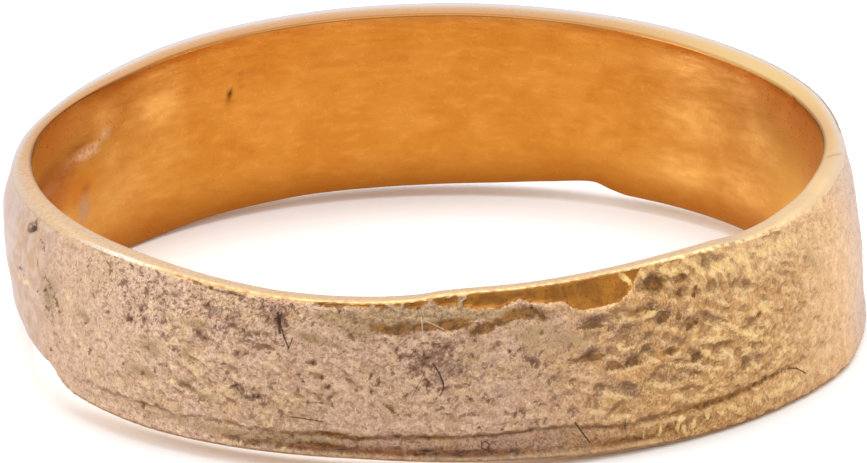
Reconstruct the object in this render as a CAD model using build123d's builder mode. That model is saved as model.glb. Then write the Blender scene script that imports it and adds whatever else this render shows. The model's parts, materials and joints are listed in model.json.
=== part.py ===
from build123d import *
from math import cos, degrees, radians, sin, sqrt
import os

# A worn plain finger ring, lying on its side. Lengths are in millimetres.
# The axis of the finger hole is +Z, and Z = 0 is the lowest point of the bottom edge.
# Azimuths are in degrees, from the front (-Y) towards the right (+X).

# Driving sizes of the band
bore_diameter = 19.0      # the finger hole
band_width = 4.65         # along the axis, at its widest
rim_wall = 0.59           # wall at the top edge
crown_wall = 0.95         # wall at the fullest part of the dome
crown_height = 1.95       # of that fullest part, above the bottom edge
foot_wall = 0.94          # wall over the border strip at the bottom edge
corner_round = 0.12       # rounding of the outer corner at the bottom edge

# Driving sizes of the border line that is cut round the foot
border_height = 0.80      # middle of the line above the bottom edge
border_line_width = 0.26
border_line_depth = 0.10

# Driving sizes of the punched dents
dent_radius = 0.27        # across the wall's surface
dent_depth = 0.08
dent_pitch = 0.92         # from one column to the next, along the wall
dent_row_pitch = 0.85     # from one row to the next, up the wall
dent_drop = 0.30          # each column stands this much lower than the last one

# Driving sizes of the worn places
facet_wall = 0.26         # wall left at the foot of the ground-off facet
facet_bulge = 0.18        # roundness of the facet, from foot to top
facet_shift = 6.0         # its own axis stands this far beyond the ring's, so it fades out sideways
recess_depth = 0.08       # smooth strip under the top edge
lap_depth = 0.06          # shallow step in the finger hole
cutter_margin = 1.0       # how far a cutting body reaches past the metal

bore_radius = bore_diameter / 2
crown_radius = bore_radius + crown_wall
foot_radius = bore_radius + foot_wall
rim_radius = bore_radius + rim_wall

# Heights of the two edges round the band, as shares of its width
bottom_edge = (
    # azimuth, height
    (-114, 0.000),
    (-88, 0.050),
    (-61, 0.150),
    (-42, 0.088),
    (-14, 0.078),
    (20, 0.031),
    (45, 0.000),
    (66, 0.000),
    (100, 0.030),
    (122, 0.064),
    (135, 0.074),
    (145, 0.080),
    (150, 0.090),
    (155, 0.130),
    (161, 0.115),
    (170, 0.082),
    (198, 0.058),
    (225, 0.012),
)
top_edge = (
    # azimuth, height
    (-114, 0.957),
    (-70, 0.961),
    (-45, 0.940),
    (-18, 0.888),
    (-4, 0.902),
    (4, 0.928),
    (18, 0.938),
    (38, 0.961),
    (54, 0.936),
    (80, 0.967),
    (125, 0.956),
    (180, 1.000),
    (228, 0.946),
)

# Worn places: where each starts and ends round the band, and its heights as shares of the width.
# The facet is deepest at its middle azimuth. Its ends are turns about its own axis from there.
facet_middle = -75
worn_places = {
    # name: (first end, last end, low, high)
    "facet": (-30, 9, 0.11, 0.85),
    "recess": (2, 30, 0.85, 1.00),
    "lap": (236, 262, 0.68, 1.00),
}

# Where the punched dents are clear: azimuths, and heights as shares of the width
dent_first, dent_last = 11.3, 78
dent_lowest, dent_highest = 0.27, 0.88


def radial_plane(azimuth, origin=(0, 0, 0)):
    """The upright plane through an upright axis whose X points outwards at this azimuth."""
    a = radians(azimuth)
    return Plane(origin=origin, x_dir=(sin(a), -cos(a), 0), z_dir=(-cos(a), -sin(a), 0))


def edge_surface(stations):
    """The surface that trims one edge: level across the wall, wavy along it."""
    curves = []
    for radius in (bore_radius - cutter_margin, crown_radius + cutter_margin):
        points = []
        for azimuth, height in stations:
            a = radians(azimuth)
            points.append((radius * sin(a), -radius * cos(a), height * band_width))
        curves.append(Edge.make_spline(points, periodic=True))
    return Face.make_surface_from_curves(*curves)


# The dome is one arc, from above the border line, over the crown, to the rim
line_low = border_height - border_line_width / 2
line_high = border_height + border_line_width / 2
dome_arc = Edge.make_three_point_arc(
    (foot_radius, 0, line_high),
    (crown_radius, 0, crown_height),
    (rim_radius, 0, band_width),
)
dome_centre = dome_arc.arc_center


def dome_radius(height):
    """Outer radius of the dome at a height."""
    return dome_centre.X + sqrt(dome_arc.radius**2 - (height - dome_centre.Z) ** 2)


with BuildPart() as band:
    # The blank: finger hole, border strip, cut line, dome and flat rim
    with BuildSketch(radial_plane(90)):
        with BuildLine():
            Line((bore_radius, 0), (foot_radius - corner_round, 0))
            RadiusArc((foot_radius - corner_round, 0), (foot_radius, corner_round), -corner_round)
            Line((foot_radius, corner_round), (foot_radius, line_low))
            Polyline(
                (foot_radius, line_low),
                (foot_radius - border_line_depth, border_height),
                (foot_radius, line_high),
            )
            ThreePointArc(
                (foot_radius, line_high),
                (crown_radius, crown_height),
                (rim_radius, band_width),
            )
            Line((rim_radius, band_width), (bore_radius, band_width))
            Line((bore_radius, band_width), (bore_radius, 0))
        make_face()
    revolve(axis=Axis.Z)

    # Rows of punched dents, sinking to the right
    ball_radius = (dent_radius**2 + dent_depth**2) / (2 * dent_depth)
    dent_step = degrees(dent_pitch / crown_radius)
    spots = []
    for column in range(int((dent_last - dent_first) / dent_step) + 1):
        azimuth = dent_first + column * dent_step
        height = dent_highest * band_width - (column * dent_drop) % dent_row_pitch
        while height > dent_lowest * band_width:
            reach = dome_radius(height) - dent_depth + ball_radius
            a = radians(azimuth)
            spots.append((reach * sin(a), -reach * cos(a), height))
            height -= dent_row_pitch
    with Locations(*spots):
        Sphere(ball_radius, mode=Mode.SUBTRACT)

    # The facet: the lower left of the wall is ground off, edge and all
    first, last, low, high = worn_places["facet"]
    foot = (bore_radius + facet_wall + facet_shift, low * band_width)
    top = (dome_radius(high * band_width) + facet_shift, high * band_width)
    middle = ((foot[0] + top[0]) / 2 + facet_bulge, (foot[1] + top[1]) / 2)
    within = bore_radius - cutter_margin + facet_shift
    beyond = crown_radius + cutter_margin + facet_shift
    a = radians(facet_middle)
    facet_axis = Axis((-facet_shift * sin(a), facet_shift * cos(a), 0), (0, 0, 1))
    with BuildSketch(radial_plane(facet_middle + first, facet_axis.position)):
        with BuildLine():
            ThreePointArc(foot, middle, top)
            Polyline(
                top,
                (beyond, top[1]),
                (beyond, -cutter_margin),
                (within, -cutter_margin),
                (within, foot[1]),
                foot,
            )
        make_face()
    revolve(axis=facet_axis, revolution_arc=last - first, mode=Mode.SUBTRACT)

    # The smooth strip under the top edge, where the surface has come away
    first, last, low, high = worn_places["recess"]
    lip = (dome_radius(low * band_width), low * band_width)
    with BuildSketch(radial_plane(first)):
        with BuildLine():
            Polyline(
                lip,
                (lip[0] - recess_depth, lip[1] + recess_depth),
                (rim_radius - recess_depth, high * band_width),
                (crown_radius + cutter_margin, high * band_width),
                (crown_radius + cutter_margin, lip[1]),
                lip,
            )
        make_face()
    revolve(axis=Axis.Z, revolution_arc=last - first, mode=Mode.SUBTRACT)

    # The shallow lap in the finger hole
    first, last, low, high = worn_places["lap"]
    with BuildSketch(radial_plane(first)):
        with BuildLine():
            Polyline(
                (bore_radius - cutter_margin, low * band_width),
                (bore_radius + lap_depth, low * band_width),
                (bore_radius + lap_depth, high * band_width),
                (bore_radius - cutter_margin, high * band_width),
                (bore_radius - cutter_margin, low * band_width),
            )
        make_face()
    revolve(axis=Axis.Z, revolution_arc=last - first, mode=Mode.SUBTRACT)

    # Wear has left both edges wavy
    extrude(edge_surface(top_edge), amount=band_width, dir=(0, 0, 1), mode=Mode.SUBTRACT)
    extrude(edge_surface(bottom_edge), amount=band_width, dir=(0, 0, -1), mode=Mode.SUBTRACT)

band.part.label = "band"

os.makedirs("parts", exist_ok=True)
export_step(band.part, "parts/band.step")
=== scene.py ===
import json
import math

import bpy
import numpy as np
from mathutils import Matrix, Vector, noise


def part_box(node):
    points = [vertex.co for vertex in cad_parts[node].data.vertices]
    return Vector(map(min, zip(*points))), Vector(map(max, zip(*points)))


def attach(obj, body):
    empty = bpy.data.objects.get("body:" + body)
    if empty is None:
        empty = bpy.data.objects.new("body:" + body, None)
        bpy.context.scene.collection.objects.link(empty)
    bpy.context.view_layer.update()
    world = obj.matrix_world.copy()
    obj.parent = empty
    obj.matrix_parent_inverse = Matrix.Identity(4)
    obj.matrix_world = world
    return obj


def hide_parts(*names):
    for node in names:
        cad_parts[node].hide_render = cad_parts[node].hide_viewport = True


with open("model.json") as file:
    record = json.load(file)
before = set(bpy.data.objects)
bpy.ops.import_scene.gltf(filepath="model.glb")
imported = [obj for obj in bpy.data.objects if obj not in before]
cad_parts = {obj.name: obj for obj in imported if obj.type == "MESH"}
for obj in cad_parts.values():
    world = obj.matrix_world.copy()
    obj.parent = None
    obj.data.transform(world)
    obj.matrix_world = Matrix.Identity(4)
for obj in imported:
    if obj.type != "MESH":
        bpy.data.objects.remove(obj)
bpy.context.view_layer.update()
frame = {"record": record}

# The viewpoint
# A long lens far off, looking down at the lying ring from the front, so that its two ends look almost alike.
# The ring stands a little left of and below the middle of the view, and the camera leans slightly. Lengths
# are in millimetres here and from the band on.
mm = 0.001
band_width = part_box("band")[1].z / mm
view_distance = 475
view_elevation = math.radians(19.34)
view_lean = math.radians(1.27)
view_shift_right, view_shift_up = 0.096, 0.099
ring_middle = Vector((0, 0, band_width / 2)) * mm

view_back = Vector((0, -math.cos(view_elevation), math.sin(view_elevation)))
level_right = Vector((1, 0, 0))
level_up = view_back.cross(level_right)
view_right = level_right * math.cos(view_lean) - level_up * math.sin(view_lean)
view_up = level_right * math.sin(view_lean) + level_up * math.cos(view_lean)
view_aim = ring_middle + (view_right * view_shift_right + view_up * view_shift_up) * mm

camera = bpy.data.objects.new("camera", bpy.data.cameras.new("camera"))
camera.data.sensor_width = 36
camera.data.lens = 820.5
camera.data.clip_start = 0.05
camera.data.clip_end = 20
camera_turn = Matrix((view_right, view_up, view_back)).transposed()
camera.matrix_world = Matrix.Translation(view_aim + view_back * view_distance * mm) @ camera_turn.to_4x4()
bpy.context.scene.collection.objects.link(camera)
bpy.context.scene.camera = camera
bpy.context.scene.view_settings.view_transform = "Standard"

# The table and the light
# A plain pale table top, wide enough to fill every view, under soft lamps: one broad lamp overhead and
# smaller ones at the left and the right, in a dim pale room. Lengths are in metres.
table_size = 3.0
table_edge = table_size / 2
table_corners = [(x * table_edge, y * table_edge, 0) for x, y in ((-1, -1), (1, -1), (1, 1), (-1, 1))]
table_mesh = bpy.data.meshes.new("table_top")
table_mesh.from_pydata(table_corners, [], [(0, 1, 2, 3)])
table_top = bpy.data.objects.new("table_top", table_mesh)
bpy.context.scene.collection.objects.link(table_top)
table_paint = bpy.data.materials.new("table_paint")
table_paint.use_nodes = True
paint = table_paint.node_tree.nodes["Principled BSDF"].inputs
paint["Base Color"].default_value = (0.95, 0.95, 0.95, 1)
paint["Roughness"].default_value = 0.9
table_mesh.materials.append(table_paint)

room = bpy.data.worlds.new("room")
room.use_nodes = True
room_light = room.node_tree.nodes["Background"].inputs
room_light["Color"].default_value = (0.97, 0.98, 1.0, 1)
room_light["Strength"].default_value = 0.88
bpy.context.scene.world = room

lamps = (
    # name, side to side, front to back, height, size, brightness, colour
    ("overhead_lamp", 0.00, 0.10, 0.60, 0.60, 2.4, (1.0, 0.99, 0.97)),
    ("left_lamp", -0.50, -0.10, 0.34, 0.24, 5.0, (1.0, 1.0, 1.0)),
    ("right_lamp", 0.55, -0.16, 0.30, 0.24, 4.0, (1.0, 0.96, 0.90)),
)
for name, x, y, z, size, brightness, colour in lamps:
    lamp = bpy.data.objects.new(name, bpy.data.lights.new(name, "AREA"))
    lamp.data.shape = "SQUARE"
    lamp.data.size = size
    lamp.data.color = colour
    lamp.data.energy = brightness * math.pi * size**2
    lamp.location = (x, y, z)
    lamp.rotation_euler = (Vector((x, y, z)) - ring_middle).to_track_quat("Z", "Y").to_euler()
    bpy.context.scene.collection.objects.link(lamp)

# The band
# One ring of gilt brass, turned in one piece, with a smooth round finger hole and a domed wall outside.
# The blank is a section of straight runs and rounded corners, swept round the finger hole.
# Its columns stand closer together at the front, where the wall has most relief.
bore_radius = next(m for m in frame["record"]["mounts"] if m["name"] == "finger_bore")["dims"]["r_mm"]
blank_wall = 0.95
columns = 880
front_crowding = 0.35
section_corners = (
    # corner, outward, upward, rounding, rows round it, rows of the run after it
    ("outer foot", 1, 0, 0.14, 4, 64),
    ("outer crest", 1, 1, 0.07, 4, 8),
    ("inner crest", 0, 1, 0.06, 3, 19),
    ("inner foot", 0, 0, 0.05, 2, 2),
)


def section_line(corners, wall, width):
    """The closed section of a blank, as points of (depth from the finger hole, height)."""
    arcs = []
    for index, (_, outward, upward, rounding, rows, _) in enumerate(corners):
        middle = Vector((wall - rounding if outward else rounding, width - rounding if upward else rounding))
        turns = [math.radians(90 * (index - 1 + step / rows)) for step in range(rows + 1)]
        arcs.append([middle + rounding * Vector((math.cos(turn), math.sin(turn))) for turn in turns])
    points = []
    for arc, next_arc, corner in zip(arcs, arcs[1:] + arcs[:1], corners):
        run_rows = corner[-1]
        points += arc
        points += [arc[-1].lerp(next_arc[0], step / run_rows) for step in range(1, run_rows)]
    return points


def add_node(tree, kind, sockets=(), **settings):
    """One node of a tree, with its settings by name and what goes into its sockets."""
    node = tree.nodes.new(kind)
    for name, value in settings.items():
        setattr(node, name, value)
    for name, value in dict(sockets).items():
        if isinstance(value, bpy.types.NodeSocket):
            tree.links.new(value, node.inputs[name])
        else:
            node.inputs[name].default_value = value
    return node


def sum_of(tree, operation, *values):
    """The result of one Math node."""
    return add_node(tree, "ShaderNodeMath", enumerate(values), operation=operation).outputs[0]


def keep_value(tree, geometry, name, value):
    """The geometry with one number for each of its points, kept under a name."""
    sockets = {"Geometry": geometry, "Name": name, "Value": value}
    return add_node(tree, "GeometryNodeStoreNamedAttribute", sockets).outputs[0]


def kept_values(tree, names):
    """The numbers that the points carry under these names."""
    return [add_node(tree, "GeometryNodeInputNamedAttribute", {"Name": name}).outputs[0] for name in names]


def new_tree(name, sizes):
    """A Geometry Nodes tree with named number inputs, and its input and output nodes."""
    tree = bpy.data.node_groups.new(name, "GeometryNodeTree")
    tree.interface.new_socket("Geometry", in_out="INPUT", socket_type="NodeSocketGeometry")
    for size_name, kind in sizes:
        tree.interface.new_socket(size_name, in_out="INPUT", socket_type="NodeSocket" + kind)
    tree.interface.new_socket("Geometry", in_out="OUTPUT", socket_type="NodeSocketGeometry")
    return tree, tree.nodes.new("NodeGroupInput"), tree.nodes.new("NodeGroupOutput")


def finish_tree(tree, geometry, material, group_out):
    """Ends a tree in real geometry with its material."""
    real = add_node(tree, "GeometryNodeRealizeInstances", {"Geometry": geometry})
    painted = add_node(tree, "GeometryNodeSetMaterial", {"Geometry": real.outputs[0], "Material": material})
    tree.links.new(painted.outputs[0], group_out.inputs["Geometry"])


def grown_mesh(piece, tree, sizes, name):
    """The plain mesh that a tree makes of a piece, with each size set by its socket's identifier."""
    modifier = piece.modifiers.new(tree.name, "NODES")
    modifier.node_group = tree
    for socket in tree.interface.items_tree:
        if socket.in_out == "INPUT" and socket.name in sizes:
            modifier[socket.identifier] = sizes[socket.name]
    bpy.context.view_layer.update()
    mesh = bpy.data.meshes.new_from_object(piece.evaluated_get(bpy.context.evaluated_depsgraph_get()))
    mesh.name = name
    piece.modifiers.remove(modifier)
    return mesh


gilt_metal = bpy.data.materials.new("gilt_metal")

section_curve = bpy.data.curves.new("band_section", "CURVE")
section_curve.dimensions = "3D"
section_points = section_line(section_corners, blank_wall, band_width)
spline = section_curve.splines.new("POLY")
spline.points.add(len(section_points) - 1)
for point, place in zip(spline.points, section_points):
    point.co = (place.x * mm, place.y * mm, 0, 1)
spline.use_cyclic_u = True
blank = bpy.data.objects.new("band_section", section_curve)
bpy.context.scene.collection.objects.link(blank)

turning, group_in, group_out = new_tree(
    "turned_blank", (("Bore Radius", "Float"), ("Columns", "Int"), ("Front Crowding", "Float"))
)
size = group_in.outputs
ring_line = add_node(
    turning,
    "GeometryNodeCurvePrimitiveCircle",
    {"Resolution": size["Columns"], "Radius": size["Bore Radius"]},
).outputs[0]
column_index = add_node(turning, "GeometryNodeInputIndex").outputs[0]
even_turn = sum_of(turning, "DIVIDE", column_index, size["Columns"])
even_turn = sum_of(turning, "MULTIPLY_ADD", even_turn, math.tau, -math.pi)
crowded_by = sum_of(turning, "MULTIPLY", sum_of(turning, "SINE", even_turn), size["Front Crowding"])
ring_line = keep_value(turning, ring_line, "azimuth", sum_of(turning, "SUBTRACT", even_turn, crowded_by))
section_place = add_node(turning, "GeometryNodeInputPosition").outputs[0]
section_place = add_node(turning, "ShaderNodeSeparateXYZ", {0: section_place}).outputs
section = keep_value(turning, size["Geometry"], "depth", section_place["X"])
section = keep_value(turning, section, "height", section_place["Y"])
swept = add_node(
    turning, "GeometryNodeCurveToMesh", {"Curve": ring_line, "Profile Curve": section}
).outputs[0]
azimuth_in, depth_in, height_in = kept_values(turning, ("azimuth", "depth", "height"))
radius_in = sum_of(turning, "ADD", depth_in, size["Bore Radius"])
rightward = sum_of(turning, "MULTIPLY", radius_in, sum_of(turning, "SINE", azimuth_in))
frontward = sum_of(turning, "MULTIPLY", radius_in, sum_of(turning, "COSINE", azimuth_in))
backward = sum_of(turning, "MULTIPLY", frontward, -1)
swept_to = add_node(
    turning, "ShaderNodeCombineXYZ", {"X": rightward, "Y": backward, "Z": height_in}
).outputs[0]
swept = add_node(turning, "GeometryNodeSetPosition", {"Geometry": swept, "Position": swept_to}).outputs[0]
swept = add_node(turning, "GeometryNodeFlipFaces", {"Mesh": swept}).outputs[0]
finish_tree(turning, swept, gilt_metal, group_out)

blank_sizes = {"Bore Radius": bore_radius * mm, "Columns": columns, "Front Crowding": front_crowding}
band_mesh = grown_mesh(blank, turning, blank_sizes, "band_metal")
bpy.data.objects.remove(blank)


def read_values(mesh, name):
    """One number for each point of a mesh."""
    values = np.zeros(len(mesh.vertices))
    mesh.attributes[name].data.foreach_get("value", values)
    return values


def store_values(mesh, name, values):
    """Keeps one number for each point of a mesh, for trees and materials to read."""
    attribute = mesh.attributes.get(name) or mesh.attributes.new(name, "FLOAT", "POINT")
    attribute.data.foreach_set("value", np.asarray(values, np.float32))


# Long wear of the band
# Use has left both edges wavy and the wall uneven: thin at the rim, full at the crown, and ground off in a
# smooth facet at the lower left. Heights are in millimetres above the table, walls in millimetres.
top_edge = (
    # azimuth, height
    (-152, 4.65), (-141, 4.57), (-129, 4.45), (-115, 4.42), (-90, 4.47), (-68, 4.46), (-52, 4.42),
    (-44, 4.37), (-39, 4.32), (-33, 4.25), (-28, 4.20), (-21, 4.14), (-15, 4.13), (-8, 4.15),
    (-2, 4.21), (2, 4.30), (6, 4.335), (12, 4.35), (18, 4.38), (26, 4.43), (36, 4.465),
    (43, 4.45), (50, 4.36), (56, 4.35), (62, 4.39), (69, 4.42), (76, 4.49), (90, 4.51),
    (104, 4.46), (116, 4.49), (131, 4.53), (143, 4.59), (158, 4.66), (176, 4.71), (190, 4.71),
)
bottom_edge = (
    # azimuth, height
    (-156, 0.23), (-146, 0.17), (-134, 0.06), (-114, 0.00), (-95, 0.13), (-82, 0.40), (-74, 0.78),
    (-67, 1.00), (-61.4, 1.05), (-59.6, 0.92), (-57.8, 0.68), (-55, 0.57), (-45, 0.43), (-38, 0.38),
    (-24, 0.36), (-12, 0.36), (-4, 0.32),
    (4, 0.265), (12, 0.215), (20, 0.14), (28, 0.085), (36, 0.03), (45, 0.00), (62, 0.00),
    (76, 0.02), (92, 0.08), (110, 0.19), (127, 0.29), (140, 0.33), (149, 0.36), (152, 0.45),
    (155, 0.59), (162, 0.475), (172, 0.345), (186, 0.285), (198, 0.27),
)
wall_heights = (0.35, 0.75, 1.25, 1.95, 2.7, 3.5, 4.4)
wall_sections = (
    # azimuth, wall at each of the heights above
    (-110, 0.78, 0.80, 0.82, 0.82, 0.75, 0.64, 0.44),
    (-97, 0.40, 0.52, 0.62, 0.66, 0.73, 0.68, 0.46),
    (-88, 0.24, 0.40, 0.55, 0.60, 0.71, 0.73, 0.52),
    (-78, 0.22, 0.36, 0.53, 0.69, 0.78, 0.74, 0.53),
    (-68, 0.26, 0.52, 0.76, 0.88, 0.88, 0.77, 0.55),
    (-60, 0.86, 0.90, 0.93, 0.95, 0.90, 0.79, 0.57),
    (-45, 0.93, 0.93, 0.95, 0.95, 0.92, 0.79, 0.48),
    (-20, 0.94, 0.95, 0.97, 0.95, 0.92, 0.77, 0.28),
    (-2, 0.95, 0.95, 0.97, 0.95, 0.92, 0.77, 0.28),
    (30, 0.96, 0.96, 0.98, 0.96, 0.92, 0.77, 0.36),
    (55, 1.01, 0.99, 0.99, 0.97, 0.92, 0.79, 0.49),
    (68, 1.08, 1.02, 0.97, 0.96, 0.90, 0.79, 0.56),
    (79, 0.98, 0.92, 0.90, 0.92, 0.86, 0.77, 0.56),
    (95, 0.95, 0.92, 0.90, 0.88, 0.79, 0.71, 0.51),
    (112, 0.93, 0.94, 0.98, 0.94, 0.86, 0.79, 0.67),
    (130, 0.93, 0.96, 1.00, 0.99, 0.95, 0.90, 0.82),
    (150, 0.95, 0.98, 1.03, 1.04, 1.02, 0.99, 0.96),
    (180, 0.98, 1.00, 1.05, 1.06, 1.05, 1.03, 0.98),
    (205, 0.96, 0.98, 1.02, 1.02, 0.99, 0.94, 0.88),
    (224, 0.94, 0.95, 0.97, 0.96, 0.91, 0.84, 0.71),
)
rim_shoulder = (
    # azimuth, how far in from the wall the rim is rounded down, how far down
    (-140, 0.30, 0.01),
    (-105, 0.36, 0.06),
    (-80, 0.40, 0.16),
    (-62, 0.30, 0.12),
    (-50, 0.14, 0.04),
    (0, 0.12, 0.03),
    (40, 0.14, 0.04),
    (62, 0.24, 0.08),
    (80, 0.36, 0.12),
    (105, 0.32, 0.03),
    (140, 0.30, 0.01),
    (180, 0.30, 0.01),
)


def smooth_line(knots, values, x):
    """A smooth line through the knots, read at x, that doesn't overshoot.

    The values are one row, or a row for each x.
    """
    knots = np.asarray(knots, float)
    values = np.broadcast_to(values, (len(x), len(knots)))
    step = np.diff(knots)
    slope = np.diff(values, axis=1) / step
    before, after = slope[:, :-1], slope[:, 1:]
    same_way = before * after > 0
    bend = np.where(same_way, 2 * before * after / np.where(same_way, before + after, 1), 0)
    tangent = np.concatenate([slope[:, :1], bend, slope[:, -1:]], axis=1)
    place = np.clip(np.searchsorted(knots, x) - 1, 0, len(knots) - 2)
    t = np.clip((x - knots[place]) / step[place], 0, 1)
    run = step[place]

    def at(table, offset):
        return np.take_along_axis(table, (place + offset)[:, None], 1)[:, 0]

    start = at(values, 0) * (1 + 2 * t) * (1 - t) ** 2 + at(tangent, 0) * run * t * (1 - t) ** 2
    end = at(values, 1) * t**2 * (3 - 2 * t) - at(tangent, 1) * run * t**2 * (1 - t)
    return start + end


def round_the_band(stations, azimuth):
    """Each column of a table of stations, carried smoothly round the band and closed on itself."""
    once = np.array(stations, float)
    lap = np.zeros(once.shape[1])
    lap[0] = 360
    laps = np.concatenate([once - lap, once, once + lap])
    return [smooth_line(laps[:, 0], laps[:, column], azimuth) for column in range(1, laps.shape[1])]


azimuth = np.degrees(read_values(band_mesh, "azimuth"))
depth_share = read_values(band_mesh, "depth") / (blank_wall * mm)
height_share = read_values(band_mesh, "height") / (band_width * mm)
(top,) = round_the_band(top_edge, azimuth)
(bottom,) = round_the_band(bottom_edge, azimuth)
height = bottom + height_share * (top - bottom)
walls = np.stack(round_the_band(wall_sections, azimuth), axis=1)
wall = smooth_line(wall_heights, walls, height)
depth = depth_share * wall
shoulder_width, shoulder_drop = round_the_band(rim_shoulder, azimuth)
shoulder = np.clip(1 - (wall - depth) / shoulder_width, 0, 1) ** 2
height -= height_share * shoulder_drop * shoulder


def lumps(places, size, seed):
    """Smooth random numbers, about -1 to 1, in lumps of this size."""
    seed_shift = Vector((7.1, 3.7, 5.3)) * seed
    return np.array([noise.noise(Vector(place) / size + seed_shift) for place in places])


def ease(values, start, end):
    """0 at start and 1 at end, with soft ends."""
    share = np.clip((values - start) / (end - start), 0, 1)
    return share * share * (3 - 2 * share)


def stretch(values, start, full, last_full, end):
    """1 from full to last_full, and 0 before start and after end, with soft ends."""
    return ease(values, start, full) * ease(values, end, last_full)


def hump(values, middle, width):
    """1 in the middle, falling away softly on both sides."""
    return np.exp(-(((values - middle) / width) ** 2))


# Places on the wall are given by azimuth and level. A level is a height as it is seen from the front,
# where the fall of the dome away from the crown reads as height. The seen ones are those of a plain cylinder
# behind each place, which the tables of stains and marks use, as they were read off the front view.
crown_wall = 0.9
crown_radius = bore_radius + crown_wall
radius = bore_radius + depth
turn = np.radians(azimuth)
level = height + (crown_radius - radius) * math.tan(view_elevation)
places = np.stack([radius * np.sin(turn), -radius * np.cos(turn), height], axis=1)
seen_turn = np.arcsin(np.clip(places[:, 0] / crown_radius, -1, 1))
seen_turn = np.where(places[:, 1] < 0, seen_turn, turn)
seen_azimuth = np.degrees(seen_turn)
seen_level = height + (crown_radius * np.cos(seen_turn) - radius * np.cos(turn)) * math.tan(view_elevation)

# How far each point belongs to the outer wall or the finger hole; the rim's flat and the foot lie between
outside = ease(depth_share, 0.93, 1.0)
inside = 1 - ease(depth_share, 0.0, 0.08)

# The waver that makes the edges of lines, strips, stains and marks ragged
rough_edge = lumps(places, 0.30, 1) * 0.6 + lumps(places, 0.13, 2) * 0.4

# The border line
# A line that was cut round the foot with a graver, with a low strip under it and a lip at the very edge.
# It is faint at the left end and soft at the right.
border_line = (
    # azimuth, level, depth, half width, how low the strip under it lies
    (-120, 0.82, 0.07, 0.08, 0.02),
    (-66, 1.06, 0.00, 0.05, 0.00),
    (-58, 1.06, 0.01, 0.05, 0.01),
    (-46, 1.01, 0.03, 0.05, 0.02),
    (-41, 1.00, 0.03, 0.05, 0.02),
    (-35, 0.95, 0.03, 0.05, 0.02),
    (-28, 0.96, 0.04, 0.05, 0.02),
    (-23, 0.90, 0.03, 0.05, 0.03),
    (-18, 0.90, 0.03, 0.06, 0.04),
    (-14, 0.92, 0.05, 0.06, 0.04),
    (-10, 0.86, 0.06, 0.06, 0.04),
    (-6, 0.89, 0.06, 0.07, 0.04),
    (-2, 0.90, 0.06, 0.06, 0.05),
    (4, 0.89, 0.05, 0.05, 0.05),
    (8, 0.89, 0.07, 0.05, 0.05),
    (12.5, 0.92, 0.08, 0.05, 0.05),
    (14, 0.95, 0.04, 0.05, 0.05),
    (18, 0.92, 0.05, 0.05, 0.05),
    (21, 0.83, 0.05, 0.06, 0.05),
    (25, 0.76, 0.04, 0.07, 0.04),
    (30, 0.75, 0.05, 0.08, 0.02),
    (36, 0.78, 0.05, 0.13, 0.00),
    (42, 0.82, 0.045, 0.16, 0.00),
    (50, 0.87, 0.04, 0.18, 0.00),
    (58, 0.85, 0.03, 0.20, 0.00),
    (80, 0.80, 0.03, 0.20, 0.00),
    (100, 0.82, 0.07, 0.10, 0.02),
)
line_level, line_depth, line_width, strip_depth = round_the_band(border_line, azimuth)
above_line = level - line_level + 0.03 * rough_edge
groove = hump(above_line, 0, line_width) * np.clip(0.8 + 1.1 * lumps(places, 0.6, 4), 0.15, 1.3)
above_edge = height - bottom
strip = ease(above_line, 0.02, -0.06) * ease(above_edge, 0.08, 0.22)
relief = -(line_depth * groove + strip_depth * strip) * outside

# A second, rougher line runs just above the bottom edge, over the front only
edge_line_height, edge_line_width, edge_line_depth = 0.23, 0.09, 0.035
edge_line = hump(above_edge + 0.05 * rough_edge, edge_line_height, edge_line_width)
edge_line *= stretch(azimuth, -34, -20, 30, 42) * (0.35 + 0.65 * ease(azimuth, 16, 8))
relief -= edge_line_depth * edge_line * outside

# Dirt has stayed in both lines, and on the strip between them
foot_dirt = 0.30 * ease(above_line, 0.02, -0.10) * ease(above_edge, 0.08, 0.14)
foot_dirt += 0.45 * groove + 0.95 * edge_line
foot_dirt *= ease(azimuth + 4 * rough_edge, -34, -14) * ease(azimuth, 36, 24)
foot_dirt = np.maximum(foot_dirt, 0.34 * groove * stretch(azimuth, -66, -40, 26, 44))

# The worn strip under the rim
# Along the top of the front the rough skin has come away, and smooth brown metal shows in a shallow strip
# with a ragged lower edge. Round azimuth 0 a crust still covers part of it.
strip_edge = (
    # azimuth, level of the lower edge; above the rim where there is no strip
    (-40, 5.2), (-26, 4.40), (-20, 4.24), (-16, 4.22), (-14.5, 4.19), (-11.5, 4.19), (-9, 4.18),
    (-5, 4.15), (0, 4.16), (3.5, 4.18), (4.8, 4.11), (9, 4.09), (10.6, 4.15), (12.2, 4.24),
    (13.6, 4.16), (15, 4.10), (18.2, 4.06), (19.4, 3.88), (21, 3.80), (24, 3.80), (26, 3.86),
    (27.5, 4.02), (29, 4.30), (31, 4.70), (36, 5.20), (180, 5.20),
)
strip_fade, bare_depth = 0.16, 0.055
(strip_low,) = round_the_band(strip_edge, azimuth)
bare = np.clip((level - strip_low + 0.05 * rough_edge) / strip_fade + 0.5, 0, 1)
bare *= 1 - stretch(azimuth, -12, -8, 4, 6) * ease(lumps(places, 0.16, 8), -0.15, 0.20)
relief -= bare_depth * ease(bare, 0.3, 0.8) * ease(top - height, 0.04, 0.14) * outside

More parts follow.
